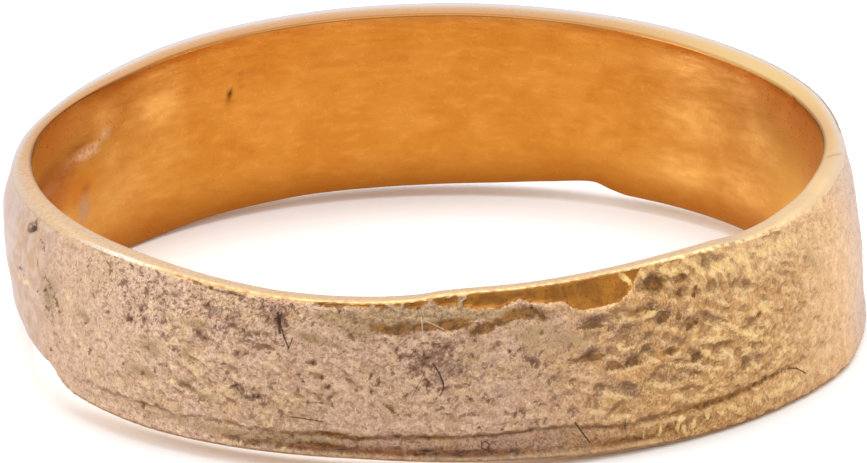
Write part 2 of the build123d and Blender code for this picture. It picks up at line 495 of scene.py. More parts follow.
# Old crusts and stains lie over the front in broad patches: brown, olive grey, violet grey and black specks.
# The brown and the violet ones have eaten a little into the metal.
patches = {
    # stain: azimuth, level, half length, half width, lean, strength
    "brown": (
        (-13.2, 4.22, 0.30, 0.06, 0, 1.0),
        (-5.6, 3.62, 0.40, 0.10, -12, 1.0),
        (-3.6, 3.66, 0.30, 0.14, 10, 0.9),
        (-0.6, 3.70, 0.44, 0.08, 0, 1.0),
        (2.8, 3.74, 0.40, 0.12, 4, 1.0),
        (6.6, 3.60, 0.28, 0.11, 16, 1.0),
        (9.6, 3.78, 0.40, 0.09, 18, 1.0),
        (12.4, 3.90, 0.40, 0.12, 0, 1.0),
        (14.4, 3.78, 0.16, 0.07, -40, 0.9),
        (0.2, 3.28, 0.30, 0.03, 0, 0.8),
        (-13.6, 0.95, 0.40, 0.06, -4, 0.9),
        (-10.6, 0.89, 0.44, 0.05, 0, 0.9),
        (0.4, 0.91, 0.40, 0.05, 0, 0.8),
        (-14.4, 0.65, 0.50, 0.05, -4, 0.8),
        (26.0, 0.36, 1.00, 0.10, -4, 0.6),
        (33.0, 0.40, 0.70, 0.14, 0, 0.6),
        (37.4, 0.42, 0.50, 0.14, 0, 0.5),
        (21.2, 2.58, 0.30, 0.08, 0, 1.0),
        (21.6, 3.36, 0.36, 0.05, -4, 0.9),
        (24.5, 2.24, 0.24, 0.06, 0, 0.7),
        (27.2, 2.26, 0.26, 0.07, 0, 0.9),
        (28.8, 3.52, 0.34, 0.12, 0, 0.7),
        (32.0, 3.21, 0.16, 0.08, 20, 1.0),
        (34.2, 3.20, 0.10, 0.08, 80, 0.8),
        (36.3, 2.88, 0.18, 0.07, 24, 1.0),
        (37.2, 2.04, 0.16, 0.09, 20, 1.0),
        (32.6, 2.36, 0.26, 0.07, 0, 0.8),
        (30.6, 4.12, 0.26, 0.20, 0, 0.9),
        (34.8, 4.14, 0.20, 0.14, 0, 0.7),
        (34.4, 3.76, 0.14, 0.12, 0, 0.7),
        (37.0, 3.68, 0.12, 0.14, 0, 0.6),
        (40.5, 0.80, 1.30, 0.08, 2, 0.8),
        (50.0, 0.90, 1.30, 0.06, 2, 0.7),
        (48.3, 2.60, 0.14, 0.07, 10, 0.8),
    ),
    "olive": (
        (-12.8, 3.90, 0.46, 0.12, -8, 1.0),
        (-10.2, 3.72, 0.44, 0.24, -20, 1.0),
        (-8.4, 3.62, 0.30, 0.20, 0, 0.8),
        (-6.0, 3.92, 0.80, 0.16, 0, 1.0),
        (0.0, 3.96, 0.80, 0.14, 0, 1.0),
        (5.0, 3.96, 0.60, 0.12, 4, 0.9),
        (10.0, 4.00, 0.60, 0.12, 0, 0.7),
        (-9.0, 4.22, 0.50, 0.10, 0, 0.9),
        (-3.0, 4.24, 0.90, 0.12, 0, 1.0),
        (3.0, 4.28, 0.60, 0.14, 0, 1.0),
        (-15.8, 3.34, 0.60, 0.12, -14, 0.7),
        (-32.2, 3.34, 0.70, 0.14, 0, 0.6),
        (-33.6, 2.66, 0.30, 0.09, 0, 0.5),
        (-39.6, 2.44, 0.50, 0.24, -20, 0.6),
        (-41.2, 1.80, 0.60, 0.18, 0, 0.6),
        (-34.2, 1.72, 0.60, 0.08, -14, 0.7),
        (-31.2, 1.52, 0.36, 0.14, 0, 0.6),
        (-26.0, 1.80, 0.26, 0.10, -30, 0.8),
        (-52.4, 2.72, 0.40, 0.14, -10, 0.6),
        (-61.0, 2.90, 0.60, 0.60, 0, 0.6),
        (-70.2, 2.96, 0.34, 0.08, 4, 0.8),
        (-38.0, 0.84, 2.20, 0.10, 0, 0.5),
        (-28.0, 0.74, 1.60, 0.12, 0, 0.6),
        (-20.0, 0.74, 1.60, 0.14, 0, 0.7),
        (13.0, 3.30, 0.60, 0.40, 0, 0.5),
        (18.0, 3.10, 0.70, 0.40, 0, 0.5),
        (61.0, 3.20, 0.50, 0.16, -50, 0.5),
    ),
    "violet": (
        (-0.4, 2.92, 0.26, 0.14, 0, 1.0),
        (-1.6, 2.72, 0.30, 0.16, 34, 0.7),
        (1.4, 3.12, 0.26, 0.12, 24, 0.7),
        (2.4, 2.62, 0.50, 0.26, 0, 0.8),
        (0.6, 2.42, 0.24, 0.24, 0, 0.7),
        (-3.4, 2.96, 0.24, 0.10, 0, 0.7),
        (3.4, 3.24, 0.20, 0.10, 20, 0.7),
        (-5.4, 2.34, 0.30, 0.18, 0, 0.5),
        (-20.3, 3.70, 0.34, 0.20, -80, 0.9),
        (-22.0, 3.80, 0.26, 0.20, 0, 0.6),
        (-24.4, 3.30, 0.40, 0.12, 0, 0.6),
        (-29.8, 3.74, 0.40, 0.14, 0, 0.7),
        (-38.4, 3.60, 0.50, 0.44, 0, 0.4),
        (-34.6, 2.44, 0.44, 0.10, 0, 0.5),
        (-24.0, 1.70, 0.36, 0.10, 0, 0.7),
        (-61.0, 2.40, 0.30, 0.40, 0, 0.5),
        (8.0, 1.86, 0.60, 0.12, 0, 0.5),
        (8.4, 0.70, 0.80, 0.16, 0, 0.6),
        (15.0, 0.68, 1.20, 0.18, 0, 0.5),
        (16.0, 3.70, 0.36, 0.12, 0, 0.7),
        (13.0, 2.70, 0.36, 0.16, -20, 0.7),
        (22.0, 3.52, 0.42, 0.12, -6, 1.0),
        (21.0, 2.76, 0.40, 0.10, 0, 0.8),
        (24.0, 2.62, 0.24, 0.14, 0, 0.7),
        (26.2, 3.16, 0.50, 0.14, 0, 0.8),
        (26.6, 2.44, 0.26, 0.12, 0, 0.9),
        (23.6, 1.92, 0.50, 0.08, -4, 0.6),
        (22.2, 1.74, 0.18, 0.14, 0, 0.8),
        (26.4, 1.62, 0.40, 0.16, -14, 0.9),
        (16.0, 2.20, 0.36, 0.12, -10, 0.7),
        (18.4, 1.34, 0.16, 0.16, 0, 0.7),
        (15.9, 1.64, 0.20, 0.20, 80, 0.6),
        (28.6, 2.86, 0.30, 0.14, 0, 0.7),
        (29.6, 3.62, 0.34, 0.10, -10, 0.8),
        (32.0, 3.38, 0.22, 0.14, 0, 0.9),
        (35.4, 3.20, 0.36, 0.10, -40, 0.9),
        (33.6, 2.60, 0.44, 0.16, 0, 0.7),
        (32.0, 1.90, 0.60, 0.30, 0, 0.5),
        (35.0, 1.74, 0.60, 0.14, 0, 0.7),
        (39.2, 2.98, 0.36, 0.09, -20, 0.8),
        (29.4, 2.56, 0.18, 0.12, 0, 0.9),
        (43.6, 2.74, 0.40, 0.07, -20, 0.6),
        (47.6, 1.60, 0.30, 0.24, 0, 0.6),
        (67.4, 3.40, 0.30, 0.10, 0, 0.6),
    ),
    "black": (
        (-40.0, 3.60, 0.90, 0.60, 0, 0.6),
        (-30.0, 3.50, 1.20, 0.50, 0, 0.5),
        (-20.4, 3.72, 0.36, 0.24, -80, 1.0),
        (-24.0, 3.30, 0.60, 0.16, 0, 0.8),
        (-23.8, 1.70, 0.40, 0.10, 0, 0.9),
        (-0.5, 2.90, 0.40, 0.20, 10, 0.9),
        (1.6, 2.60, 0.60, 0.40, 0, 0.6),
        (-61.4, 2.80, 0.40, 0.34, -60, 0.7),
        (-10.0, 0.60, 1.80, 0.08, 0, 0.5),
        (0.4, 0.54, 0.90, 0.09, -6, 0.6),
        (6.0, 0.46, 0.80, 0.07, 0, 0.6),
        (16.0, 0.60, 1.80, 0.22, 0, 0.5),
        (22.0, 3.48, 0.40, 0.12, 0, 1.0),
        (26.4, 3.20, 0.50, 0.14, 0, 0.8),
        (26.8, 1.62, 0.44, 0.16, -14, 0.9),
        (28.6, 2.70, 0.50, 0.26, 0, 0.7),
        (32.6, 3.32, 0.60, 0.20, -30, 0.8),
        (34.0, 1.84, 0.90, 0.26, 0, 0.6),
    ),
}


def ovals(azimuth, level, rows, radius):
    """How deep each point lies in its nearest oval: 1 in the middle, 0.5 on the edge, 0 well outside."""
    depth = np.zeros(len(azimuth))
    for middle_azimuth, middle_level, half_length, half_width, lean, strength in rows:
        along = np.radians(azimuth - middle_azimuth) * radius
        up = level - middle_level
        lean = math.radians(lean)
        far = (along * math.cos(lean) + up * math.sin(lean)) / half_length
        off = (up * math.cos(lean) - along * math.sin(lean)) / half_width
        reach = np.sqrt(far**2 + off**2)
        depth = np.maximum(depth, strength * np.clip(1 - reach / 2, 0, 1))
    return depth


stains = {
    stain: ovals(seen_azimuth, seen_level, rows, crown_radius) * outside for stain, rows in patches.items()
}
for stain, eaten_depth in (("brown", 0.02), ("violet", 0.012)):
    relief -= eaten_depth * ease(stains[stain], 0.35, 0.6)

# Pits, blots and dents
# Corrosion has left pits and dark blots, and blows have left dents, mostly at the front.
marks = (
    # azimuth, level, half length, half width, lean, depth, stain
    # the left end
    (-65.4, 4.24, 0.26, 0.10, 26, 0.090, 1.0),
    (-64.3, 4.42, 0.14, 0.06, 55, 0.050, 0.8),
    (-62.2, 3.93, 0.10, 0.06, -10, 0.030, 0.65),
    (-62.3, 4.08, 0.12, 0.05, 0, 0.020, 0.5),
    (-64.2, 3.46, 0.10, 0.07, 0, 0.025, 0.5),
    (-61.9, 3.22, 0.12, 0.07, 60, 0.030, 0.6),
    (-60.8, 3.12, 0.16, 0.08, -20, 0.025, 0.6),
    (-60.2, 3.02, 0.10, 0.05, 0, 0.030, 0.65),
    (-62.0, 2.88, 0.12, 0.06, -10, 0.045, 0.85),
    (-59.5, 2.88, 0.12, 0.08, 40, 0.025, 0.55),
    (-63.8, 2.75, 0.11, 0.06, 0, 0.025, 0.55),
    (-58.8, 2.70, 0.26, 0.06, -50, 0.040, 0.7),
    (-58.3, 2.50, 0.14, 0.06, -80, 0.030, 0.6),
    (-61.7, 2.45, 0.14, 0.07, -20, 0.035, 0.65),
    (-60.1, 2.34, 0.10, 0.10, 0, 0.030, 0.55),
    (-60.2, 2.12, 0.12, 0.06, 60, 0.035, 0.65),
    (-58.0, 2.24, 0.06, 0.05, 0, 0.030, 0.65),
    (-59.2, 1.88, 0.20, 0.10, -30, 0.020, 0.5),
    (-60.7, 1.40, 0.10, 0.08, 60, 0.030, 0.7),
    (-70.3, 2.97, 0.24, 0.05, 5, 0.030, 0.6),
    (-69.2, 2.84, 0.14, 0.04, 20, 0.020, 0.6),
    # the left of the front
    (-51.2, 4.05, 0.11, 0.05, 100, 0.015, 0.5),
    (-52.9, 3.62, 0.08, 0.05, 0, 0.020, 0.5),
    (-52.0, 2.60, 0.10, 0.07, 30, 0.015, 0.5),
    (-51.1, 1.92, 0.13, 0.06, 55, 0.035, 0.7),
    (-50.3, 3.30, 0.08, 0.05, 0, 0.030, 0.65),
    (-49.0, 2.25, 0.08, 0.06, 0, 0.020, 0.5),
    (-48.1, 2.20, 0.10, 0.06, 90, 0.020, 0.5),
    (-47.3, 3.07, 0.07, 0.05, 0, 0.035, 0.7),
    (-46.7, 4.05, 0.11, 0.05, 40, 0.020, 0.5),
    (-45.8, 1.63, 0.06, 0.04, 0, 0.025, 0.6),
    (-45.7, 3.43, 0.06, 0.05, 0, 0.020, 0.5),
    (-44.5, 3.88, 0.15, 0.05, 30, 0.030, 0.7),
    (-44.5, 1.87, 0.07, 0.05, 0, 0.020, 0.55),
    (-43.6, 3.78, 0.08, 0.06, 90, 0.025, 0.6),
    (-43.5, 3.42, 0.09, 0.05, 90, 0.025, 0.5),
    (-43.5, 2.33, 0.12, 0.03, 10, 0.015, 0.6),
    (-43.4, 3.03, 0.13, 0.065, 8, 0.080, 1.0),
    (-43.7, 2.70, 0.08, 0.04, 90, 0.020, 0.5),
    (-42.8, 4.41, 0.11, 0.05, -25, 0.035, 0.8),
    (-42.0, 3.95, 0.10, 0.05, 90, 0.020, 0.55),
    (-41.5, 0.94, 0.09, 0.06, 60, 0.035, 0.85),
    (-41.3, 3.33, 0.08, 0.05, 70, 0.035, 0.9),
    (-41.3, 1.77, 0.07, 0.06, 60, 0.030, 0.75),
    (-41.2, 2.90, 0.07, 0.05, 90, 0.020, 0.5),
    (-41.0, 4.26, 0.07, 0.05, 0, 0.020, 0.6),
    (-41.0, 3.46, 0.07, 0.05, 80, 0.030, 0.75),
    (-40.8, 3.14, 0.10, 0.05, 75, 0.040, 0.9),
    (-40.2, 3.90, 0.10, 0.06, 60, 0.040, 0.9),
    (-40.2, 2.47, 0.07, 0.05, -30, 0.020, 0.55),
    (-39.4, 3.97, 0.12, 0.03, 20, 0.020, 0.6),
    (-39.3, 1.92, 0.07, 0.05, 0, 0.030, 0.75),
    (-39.1, 3.70, 0.12, 0.05, 95, 0.020, 0.55),
    (-39.0, 4.10, 0.09, 0.05, -10, 0.030, 0.7),
    (-38.9, 1.08, 0.11, 0.03, -10, 0.015, 0.5),
    (-38.8, 1.38, 0.10, 0.03, 10, 0.015, 0.5),
    (-37.6, 2.88, 0.12, 0.05, 70, 0.025, 0.65),
    (-37.5, 3.32, 0.10, 0.05, 100, 0.020, 0.55),
    (-37.4, 3.19, 0.09, 0.05, 20, 0.035, 0.8),
    (-37.3, 2.10, 0.10, 0.05, 0, 0.025, 0.65),
    (-37.1, 4.32, 0.12, 0.04, -10, 0.025, 0.6),
    (-36.7, 1.98, 0.11, 0.05, 95, 0.025, 0.65),
    (-35.8, 3.95, 0.14, 0.11, 0, 0.015, 0.5),
    (-35.7, 2.58, 0.16, 0.06, 20, 0.020, 0.6),
    (-34.2, 1.72, 0.22, 0.05, -5, 0.030, 0.75),
    (-33.5, 2.35, 0.14, 0.05, -10, 0.015, 0.6),
    (-33.2, 1.58, 0.12, 0.05, -50, 0.025, 0.6),
    (-32.0, 4.36, 0.18, 0.04, -8, 0.025, 0.7),
    (-32.0, 3.10, 0.14, 0.09, -35, 0.040, 0.85),
    (-31.5, 1.44, 0.14, 0.10, 0, 0.020, 0.6),
    (-31.1, 3.02, 0.10, 0.07, 0, 0.045, 0.9),
    (-30.8, 3.82, 0.08, 0.04, 10, 0.035, 0.9),
    (-30.6, 1.97, 0.09, 0.045, -40, 0.040, 0.95),
    (-30.2, 3.59, 0.09, 0.05, 0, 0.025, 0.7),
    (-29.9, 4.30, 0.07, 0.05, 0, 0.030, 0.9),
    (-29.2, 3.74, 0.10, 0.06, 90, 0.025, 0.65),
    (-28.7, 2.73, 0.18, 0.03, 10, 0.015, 0.65),
    (-28.3, 2.05, 0.10, 0.05, 40, 0.025, 0.7),
    (-28.3, 1.43, 0.07, 0.05, 90, 0.020, 0.6),
    (-28.1, 1.23, 0.11, 0.03, 15, 0.020, 0.6),
    (-27.8, 2.22, 0.07, 0.06, 30, 0.030, 0.8),
    (-27.1, 0.59, 0.28, 0.06, -6, 0.030, 0.8),
    (-27.2, 3.58, 0.11, 0.04, 10, 0.025, 0.65),
    (-26.9, 4.25, 0.28, 0.04, -4, 0.030, 0.95),
    (-26.9, 3.44, 0.16, 0.08, 10, 0.035, 0.85),
    (-26.7, 3.97, 0.10, 0.04, 80, 0.025, 0.65),
    (-26.6, 1.95, 0.18, 0.05, 25, 0.035, 0.9),
    (-26.2, 2.76, 0.10, 0.08, 60, 0.035, 0.85),
    (-25.6, 1.85, 0.12, 0.06, -40, 0.030, 0.8),
    # the middle of the front
    (-25.3, 4.17, 0.10, 0.06, 0, 0.020, 0.55),
    (-25.3, 3.33, 0.15, 0.05, 100, 0.035, 0.85),
    (-24.9, 1.68, 0.07, 0.04, 0, 0.025, 0.7),
    (-24.2, 3.30, 0.08, 0.05, 90, 0.025, 0.65),
    (-23.9, 0.54, 0.26, 0.05, 6, 0.030, 0.85),
    (-24.0, 1.66, 0.10, 0.05, 10, 0.030, 0.8),
    (-23.6, 4.09, 0.09, 0.07, -60, 0.030, 0.7),
    (-23.5, 1.74, 0.09, 0.07, 60, 0.040, 0.95),
    (-23.3, 3.31, 0.13, 0.05, 0, 0.030, 0.75),
    (-22.7, 2.17, 0.07, 0.05, 0, 0.020, 0.6),
    (-22.5, 3.90, 0.13, 0.04, 95, 0.030, 0.75),
    (-22.5, 1.63, 0.12, 0.04, 75, 0.030, 0.75),
    (-22.4, 4.10, 0.10, 0.05, 100, 0.030, 0.75),
    (-22.3, 0.64, 0.14, 0.05, 10, 0.030, 0.75),
    (-22.1, 3.79, 0.16, 0.035, 0, 0.030, 0.85),
    (-22.1, 3.64, 0.06, 0.05, 0, 0.025, 0.7),
    (-22.0, 3.03, 0.21, 0.06, -5, 0.035, 0.9),
    (-21.9, 3.31, 0.09, 0.035, 95, 0.025, 0.8),
    (-21.6, 2.88, 0.08, 0.035, -50, 0.025, 0.7),
    (-21.0, 2.12, 0.05, 0.04, 0, 0.025, 0.7),
    (-20.9, 3.15, 0.07, 0.05, 0, 0.025, 0.75),
    (-20.5, 2.90, 0.13, 0.05, -50, 0.025, 0.65),
    (-20.4, 3.67, 0.20, 0.07, 100, 0.060, 1.0),
    (-20.8, 3.74, 0.10, 0.05, 95, 0.045, 0.95),
    (-20.1, 1.37, 0.10, 0.05, 70, 0.025, 0.75),
    (-19.9, 3.84, 0.14, 0.05, 100, 0.040, 0.95),
    (-19.4, 3.66, 0.16, 0.05, -65, 0.040, 0.9),
    (-19.3, 4.00, 0.07, 0.05, 0, 0.025, 0.75),
    (-18.8, 2.70, 0.12, 0.03, -50, 0.020, 0.65),
    (-18.8, 0.84, 0.07, 0.05, 70, 0.030, 0.85),
    (-18.7, 1.44, 0.07, 0.04, 0, 0.020, 0.65),
    (-18.3, 4.10, 0.10, 0.05, 95, 0.035, 0.85),
    (-17.9, 0.67, 0.10, 0.06, 0, 0.030, 0.9),
    (-17.8, 2.03, 0.11, 0.04, 100, 0.025, 0.8),
    (-17.7, 3.95, 0.06, 0.05, 0, 0.020, 0.65),
    (-16.5, 1.72, 0.07, 0.035, 90, 0.025, 0.8),
    (-16.2, 0.71, 0.08, 0.05, 80, 0.030, 0.9),
    (-15.7, 2.70, 0.10, 0.06, 80, 0.035, 0.85),
    (-14.8, 2.38, 0.15, 0.05, 0, 0.020, 0.6),
    (-14.6, 1.73, 0.10, 0.035, -20, 0.025, 0.75),
    (-14.0, 3.26, 0.08, 0.05, 60, 0.020, 0.7),
    (-12.2, 0.57, 0.40, 0.04, 0, 0.030, 0.85),
    (-12.0, 4.06, 0.09, 0.05, 80, 0.030, 0.9),
    (-11.9, 3.67, 0.50, 0.025, -22, 0.030, 0.75),
    (-10.8, 3.94, 0.07, 0.05, 0, 0.020, 0.65),
    (-10.5, 3.45, 0.11, 0.05, -50, 0.035, 0.95),
    (-10.1, 0.66, 0.12, 0.04, 85, 0.035, 0.9),
    (-9.9, 3.80, 0.08, 0.05, 0, 0.025, 0.85),
    (-9.1, 2.55, 0.10, 0.04, -10, 0.020, 0.65),
    (-7.3, 0.63, 0.12, 0.05, 0, 0.025, 0.7),
    (-7.0, 2.97, 0.06, 0.06, 0, 0.025, 0.75),
    (-6.3, 4.15, 0.12, 0.04, 40, 0.030, 0.8),
    (-5.2, 4.11, 0.12, 0.04, 10, 0.030, 0.7),
    (-5.5, 1.63, 0.20, 0.05, -35, 0.040, 0.9),
    (-5.0, 3.56, 0.30, 0.05, 0, 0.030, 0.6),
    (-4.9, 0.63, 0.12, 0.05, 0, 0.030, 0.85),
    (-4.8, 0.95, 0.14, 0.08, -10, 0.040, 0.9),
    (-4.1, 2.93, 0.08, 0.06, 60, 0.030, 0.85),
    (-3.3, 4.19, 0.12, 0.04, 30, 0.030, 0.8),
    (-3.2, 1.51, 0.16, 0.06, 0, 0.020, 0.65),
    (-3.0, 3.78, 0.12, 0.05, -50, 0.030, 0.85),
    (-2.9, 2.97, 0.20, 0.06, 0, 0.025, 0.7),
    (-2.8, 1.00, 0.10, 0.04, 0, 0.025, 0.7),
    (-2.7, 0.80, 0.16, 0.03, 0, 0.020, 0.75),
    (-2.3, 2.62, 0.08, 0.05, 30, 0.035, 0.8),
    (-1.6, 4.17, 0.12, 0.04, 20, 0.030, 0.95),
    (-1.2, 2.73, 0.08, 0.04, 35, 0.035, 0.8),
    (-1.0, 0.57, 0.30, 0.06, 0, 0.030, 0.95),
    (-0.7, 2.92, 0.11, 0.06, 0, 0.040, 1.0),
    (-0.6, 2.07, 0.06, 0.05, 90, 0.020, 0.75),
    (0.5, 4.20, 0.08, 0.05, 0, 0.025, 0.75),
    (0.8, 2.12, 0.08, 0.05, 60, 0.025, 0.85),
    (1.0, 0.62, 0.06, 0.04, 90, 0.030, 0.95),
    (1.7, 3.18, 0.20, 0.07, 24, 0.025, 0.75),
    (2.4, 4.21, 0.11, 0.035, 0, 0.025, 0.8),
    (2.7, 0.47, 0.36, 0.05, -4, 0.030, 0.95),
    (2.7, 1.11, 0.07, 0.05, 0, 0.025, 0.75),
    (3.0, 2.50, 0.26, 0.04, 24, 0.025, 0.75),
    (3.0, 0.65, 0.06, 0.05, 90, 0.025, 0.8),
    (3.6, 2.20, 0.16, 0.06, 0, 0.020, 0.65),
    (4.7, 1.46, 0.20, 0.06, 0, 0.020, 0.7),
    (5.2, 3.41, 0.15, 0.05, -30, 0.030, 0.7),
    (5.9, 1.13, 0.06, 0.04, 0, 0.025, 0.9),
    (6.0, 0.45, 0.36, 0.05, 0, 0.025, 0.85),
    (7.1, 0.58, 0.05, 0.07, 0, 0.020, 0.95),
    (7.2, 2.70, 0.20, 0.05, 0, 0.020, 0.6),
    (8.4, 1.84, 0.20, 0.05, 15, 0.025, 0.65),
    (8.5, 3.16, 0.12, 0.08, 30, 0.020, 0.65),
    (8.7, 0.43, 0.12, 0.04, 0, 0.025, 0.9),
    (10.8, 2.30, 0.16, 0.05, 0, 0.020, 0.6),
    (11.5, 1.67, 0.06, 0.05, 0, 0.020, 0.65),
    (12.3, 4.03, 0.10, 0.07, 0, 0.040, 0.7),
    (13.2, 4.00, 0.08, 0.05, 90, 0.070, 1.0),
    (14.5, 3.38, 0.08, 0.04, 60, 0.025, 0.65),
    # dents right of the middle
    (13.1, 2.64, 0.24, 0.11, -30, 0.060, 0.75),
    (12.2, 2.90, 0.10, 0.07, 80, 0.040, 0.6),
    (15.2, 2.55, 0.15, 0.11, 0, 0.035, 0.45),
    (18.4, 2.55, 0.15, 0.12, 20, 0.040, 0.45),
    (16.7, 2.20, 0.16, 0.09, 0, 0.035, 0.5),
    (15.5, 2.13, 0.13, 0.07, 40, 0.045, 0.6),
    (18.6, 2.05, 0.14, 0.07, -10, 0.050, 0.65),
    (18.6, 1.81, 0.10, 0.05, 40, 0.030, 0.5),
    (15.8, 1.68, 0.09, 0.07, 70, 0.035, 0.6),
    (16.4, 1.49, 0.11, 0.05, -40, 0.035, 0.6),
    (13.6, 1.60, 0.13, 0.11, 0, 0.025, 0.4),
    (18.5, 1.26, 0.14, 0.11, 0, 0.045, 0.65),
    (22.2, 1.74, 0.19, 0.13, 0, 0.060, 0.75),
    (21.8, 3.44, 0.32, 0.15, 10, 0.075, 0.85),
    (21.2, 2.66, 0.26, 0.14, 10, 0.070, 0.9),
    (19.8, 2.52, 0.14, 0.12, 0, 0.045, 0.6),
    (23.9, 2.66, 0.16, 0.13, 0, 0.055, 0.65),
    (24.2, 2.28, 0.20, 0.14, -15, 0.055, 0.75),
    (26.5, 3.16, 0.24, 0.13, 10, 0.060, 0.75),
    (24.0, 3.22, 0.16, 0.10, 0, 0.045, 0.5),
    (29.8, 2.82, 0.22, 0.15, 0, 0.060, 0.75),
    (29.1, 2.54, 0.12, 0.12, 0, 0.045, 0.8),
    (27.2, 2.30, 0.28, 0.14, 12, 0.070, 0.85),
    (26.4, 1.64, 0.25, 0.14, 0, 0.060, 0.75),
    (27.3, 1.42, 0.20, 0.10, -15, 0.055, 0.75),
    (29.3, 1.50, 0.16, 0.10, 0, 0.040, 0.5),
    (14.7, 1.17, 0.07, 0.05, 80, 0.030, 0.95),
    (13.3, 1.15, 0.10, 0.05, 0, 0.030, 0.95),
    (12.8, 0.95, 0.07, 0.05, 90, 0.030, 1.0),
    (22.3, 3.15, 0.10, 0.05, 90, 0.035, 0.8),
    (18.5, 2.98, 0.12, 0.06, 0, 0.030, 0.6),
    (17.0, 2.90, 0.12, 0.08, 90, 0.020, 0.5),
    (17.6, 1.78, 0.14, 0.04, 10, 0.025, 0.7),
    (28.4, 1.88, 0.10, 0.04, -10, 0.030, 0.75),
    (25.7, 0.66, 0.09, 0.06, 80, 0.030, 0.95),
    # the right of the front
    (32.0, 3.30, 0.28, 0.14, -10, 0.065, 0.75),
    (35.4, 3.32, 0.24, 0.12, -15, 0.055, 0.6),
    (35.9, 2.98, 0.28, 0.09, 32, 0.065, 0.75),
    (30.4, 3.58, 0.20, 0.12, 0, 0.050, 0.6),
    (38.6, 2.98, 0.22, 0.12, 0, 0.045, 0.5),
    (32.0, 2.80, 0.18, 0.12, 0, 0.045, 0.6),
    (32.8, 2.40, 0.20, 0.14, 0, 0.050, 0.65),
    (35.0, 2.46, 0.20, 0.12, 0, 0.045, 0.55),
    (38.2, 2.48, 0.20, 0.12, 0, 0.040, 0.5),
    (37.5, 2.08, 0.20, 0.13, -10, 0.065, 0.85),
    (34.5, 2.02, 0.20, 0.12, 0, 0.045, 0.6),
    (31.6, 1.98, 0.20, 0.12, 0, 0.045, 0.6),
    (33.4, 1.56, 0.22, 0.12, 0, 0.045, 0.6),
    (36.8, 1.58, 0.22, 0.12, 0, 0.045, 0.6),
    (40.6, 1.72, 0.16, 0.12, 0, 0.035, 0.45),
    (42.2, 3.32, 0.24, 0.10, -10, 0.040, 0.4),
    (44.4, 1.84, 0.18, 0.11, 0, 0.050, 0.65),
    (45.6, 1.48, 0.17, 0.11, 0, 0.055, 0.85),
    (47.9, 1.46, 0.10, 0.07, 60, 0.040, 0.6),
    (48.3, 2.60, 0.16, 0.08, 60, 0.050, 0.7),
    (54.5, 3.23, 0.16, 0.06, 70, 0.035, 0.5),
    (56.1, 2.98, 0.20, 0.07, 110, 0.035, 0.6),
    (56.3, 2.19, 0.14, 0.07, 80, 0.035, 0.6),
    (55.3, 3.71, 0.10, 0.05, -15, 0.030, 0.6),
    (65.4, 3.82, 0.10, 0.05, -20, 0.030, 0.6),
    (46.0, 1.42, 0.10, 0.08, 0, 0.045, 0.9),
    (48.2, 1.44, 0.13, 0.07, 20, 0.035, 0.75),
    (48.4, 2.22, 0.11, 0.05, 20, 0.035, 0.85),
    (47.3, 1.80, 0.09, 0.06, 0, 0.025, 0.6),
    (49.0, 1.69, 0.10, 0.04, -40, 0.025, 0.6),
    (50.5, 1.22, 0.13, 0.04, -20, 0.025, 0.55),
    (53.4, 3.56, 0.14, 0.05, -30, 0.030, 0.6),
    (54.0, 3.10, 0.07, 0.05, 0, 0.030, 0.6),
    (57.8, 2.80, 0.13, 0.08, 0, 0.025, 0.6),
    (57.1, 2.14, 0.08, 0.06, 0, 0.030, 0.6),
    (59.0, 3.40, 0.13, 0.07, -40, 0.020, 0.5),
    (35.1, 1.01, 0.07, 0.04, 0, 0.025, 0.9),
    (35.4, 0.89, 0.11, 0.05, 0, 0.020, 0.65),
    (30.2, 0.74, 0.11, 0.05, 20, 0.025, 0.8),
    # short streaks that hang from the rim at the right
    (29.6, 4.22, 0.16, 0.05, -60, 0.050, 0.7),
    (30.5, 4.26, 0.14, 0.05, -60, 0.050, 0.7),
    (31.3, 4.08, 0.20, 0.07, -50, 0.055, 0.7),
    (32.9, 4.13, 0.15, 0.06, -60, 0.050, 0.7),
    (33.9, 3.98, 0.14, 0.05, -60, 0.045, 0.6),
    (34.8, 3.80, 0.17, 0.08, -50, 0.055, 0.7),
    (36.1, 4.02, 0.14, 0.05, -62, 0.045, 0.7),
    (37.2, 3.77, 0.17, 0.07, -65, 0.050, 0.7),
    (37.9, 4.05, 0.13, 0.04, -65, 0.040, 0.6),
    (39.4, 3.72, 0.17, 0.06, -60, 0.045, 0.7),
    (39.8, 4.10, 0.12, 0.04, -60, 0.040, 0.5),
    (41.0, 4.33, 0.12, 0.04, -60, 0.035, 0.6),
    (42.1, 4.03, 0.14, 0.04, -60, 0.040, 0.6),
    (43.0, 3.82, 0.13, 0.05, -58, 0.040, 0.6),
    (44.3, 3.62, 0.15, 0.06, -60, 0.040, 0.6),
    (45.6, 3.95, 0.12, 0.04, -58, 0.035, 0.5),
    (46.4, 3.40, 0.13, 0.05, -55, 0.040, 0.5),
    (48.2, 3.72, 0.12, 0.05, -50, 0.035, 0.5),
    (50.3, 3.42, 0.13, 0.05, -45, 0.035, 0.5),
    (52.1, 3.86, 0.12, 0.04, -45, 0.035, 0.5),
    (32.4, 0.46, 0.14, 0.10, 90, 0.035, 0.65),
    (33.4, 0.54, 0.10, 0.05, 70, 0.040, 0.85),
    (35.5, 0.42, 0.14, 0.09, 90, 0.040, 0.7),
    (36.6, 0.28, 0.26, 0.05, 0, 0.030, 0.6),
    (37.9, 0.46, 0.14, 0.07, 90, 0.040, 0.7),
    (40.2, 0.44, 0.11, 0.05, 80, 0.035, 0.75),
    (42.2, 0.42, 0.11, 0.05, 70, 0.030, 0.55),
)

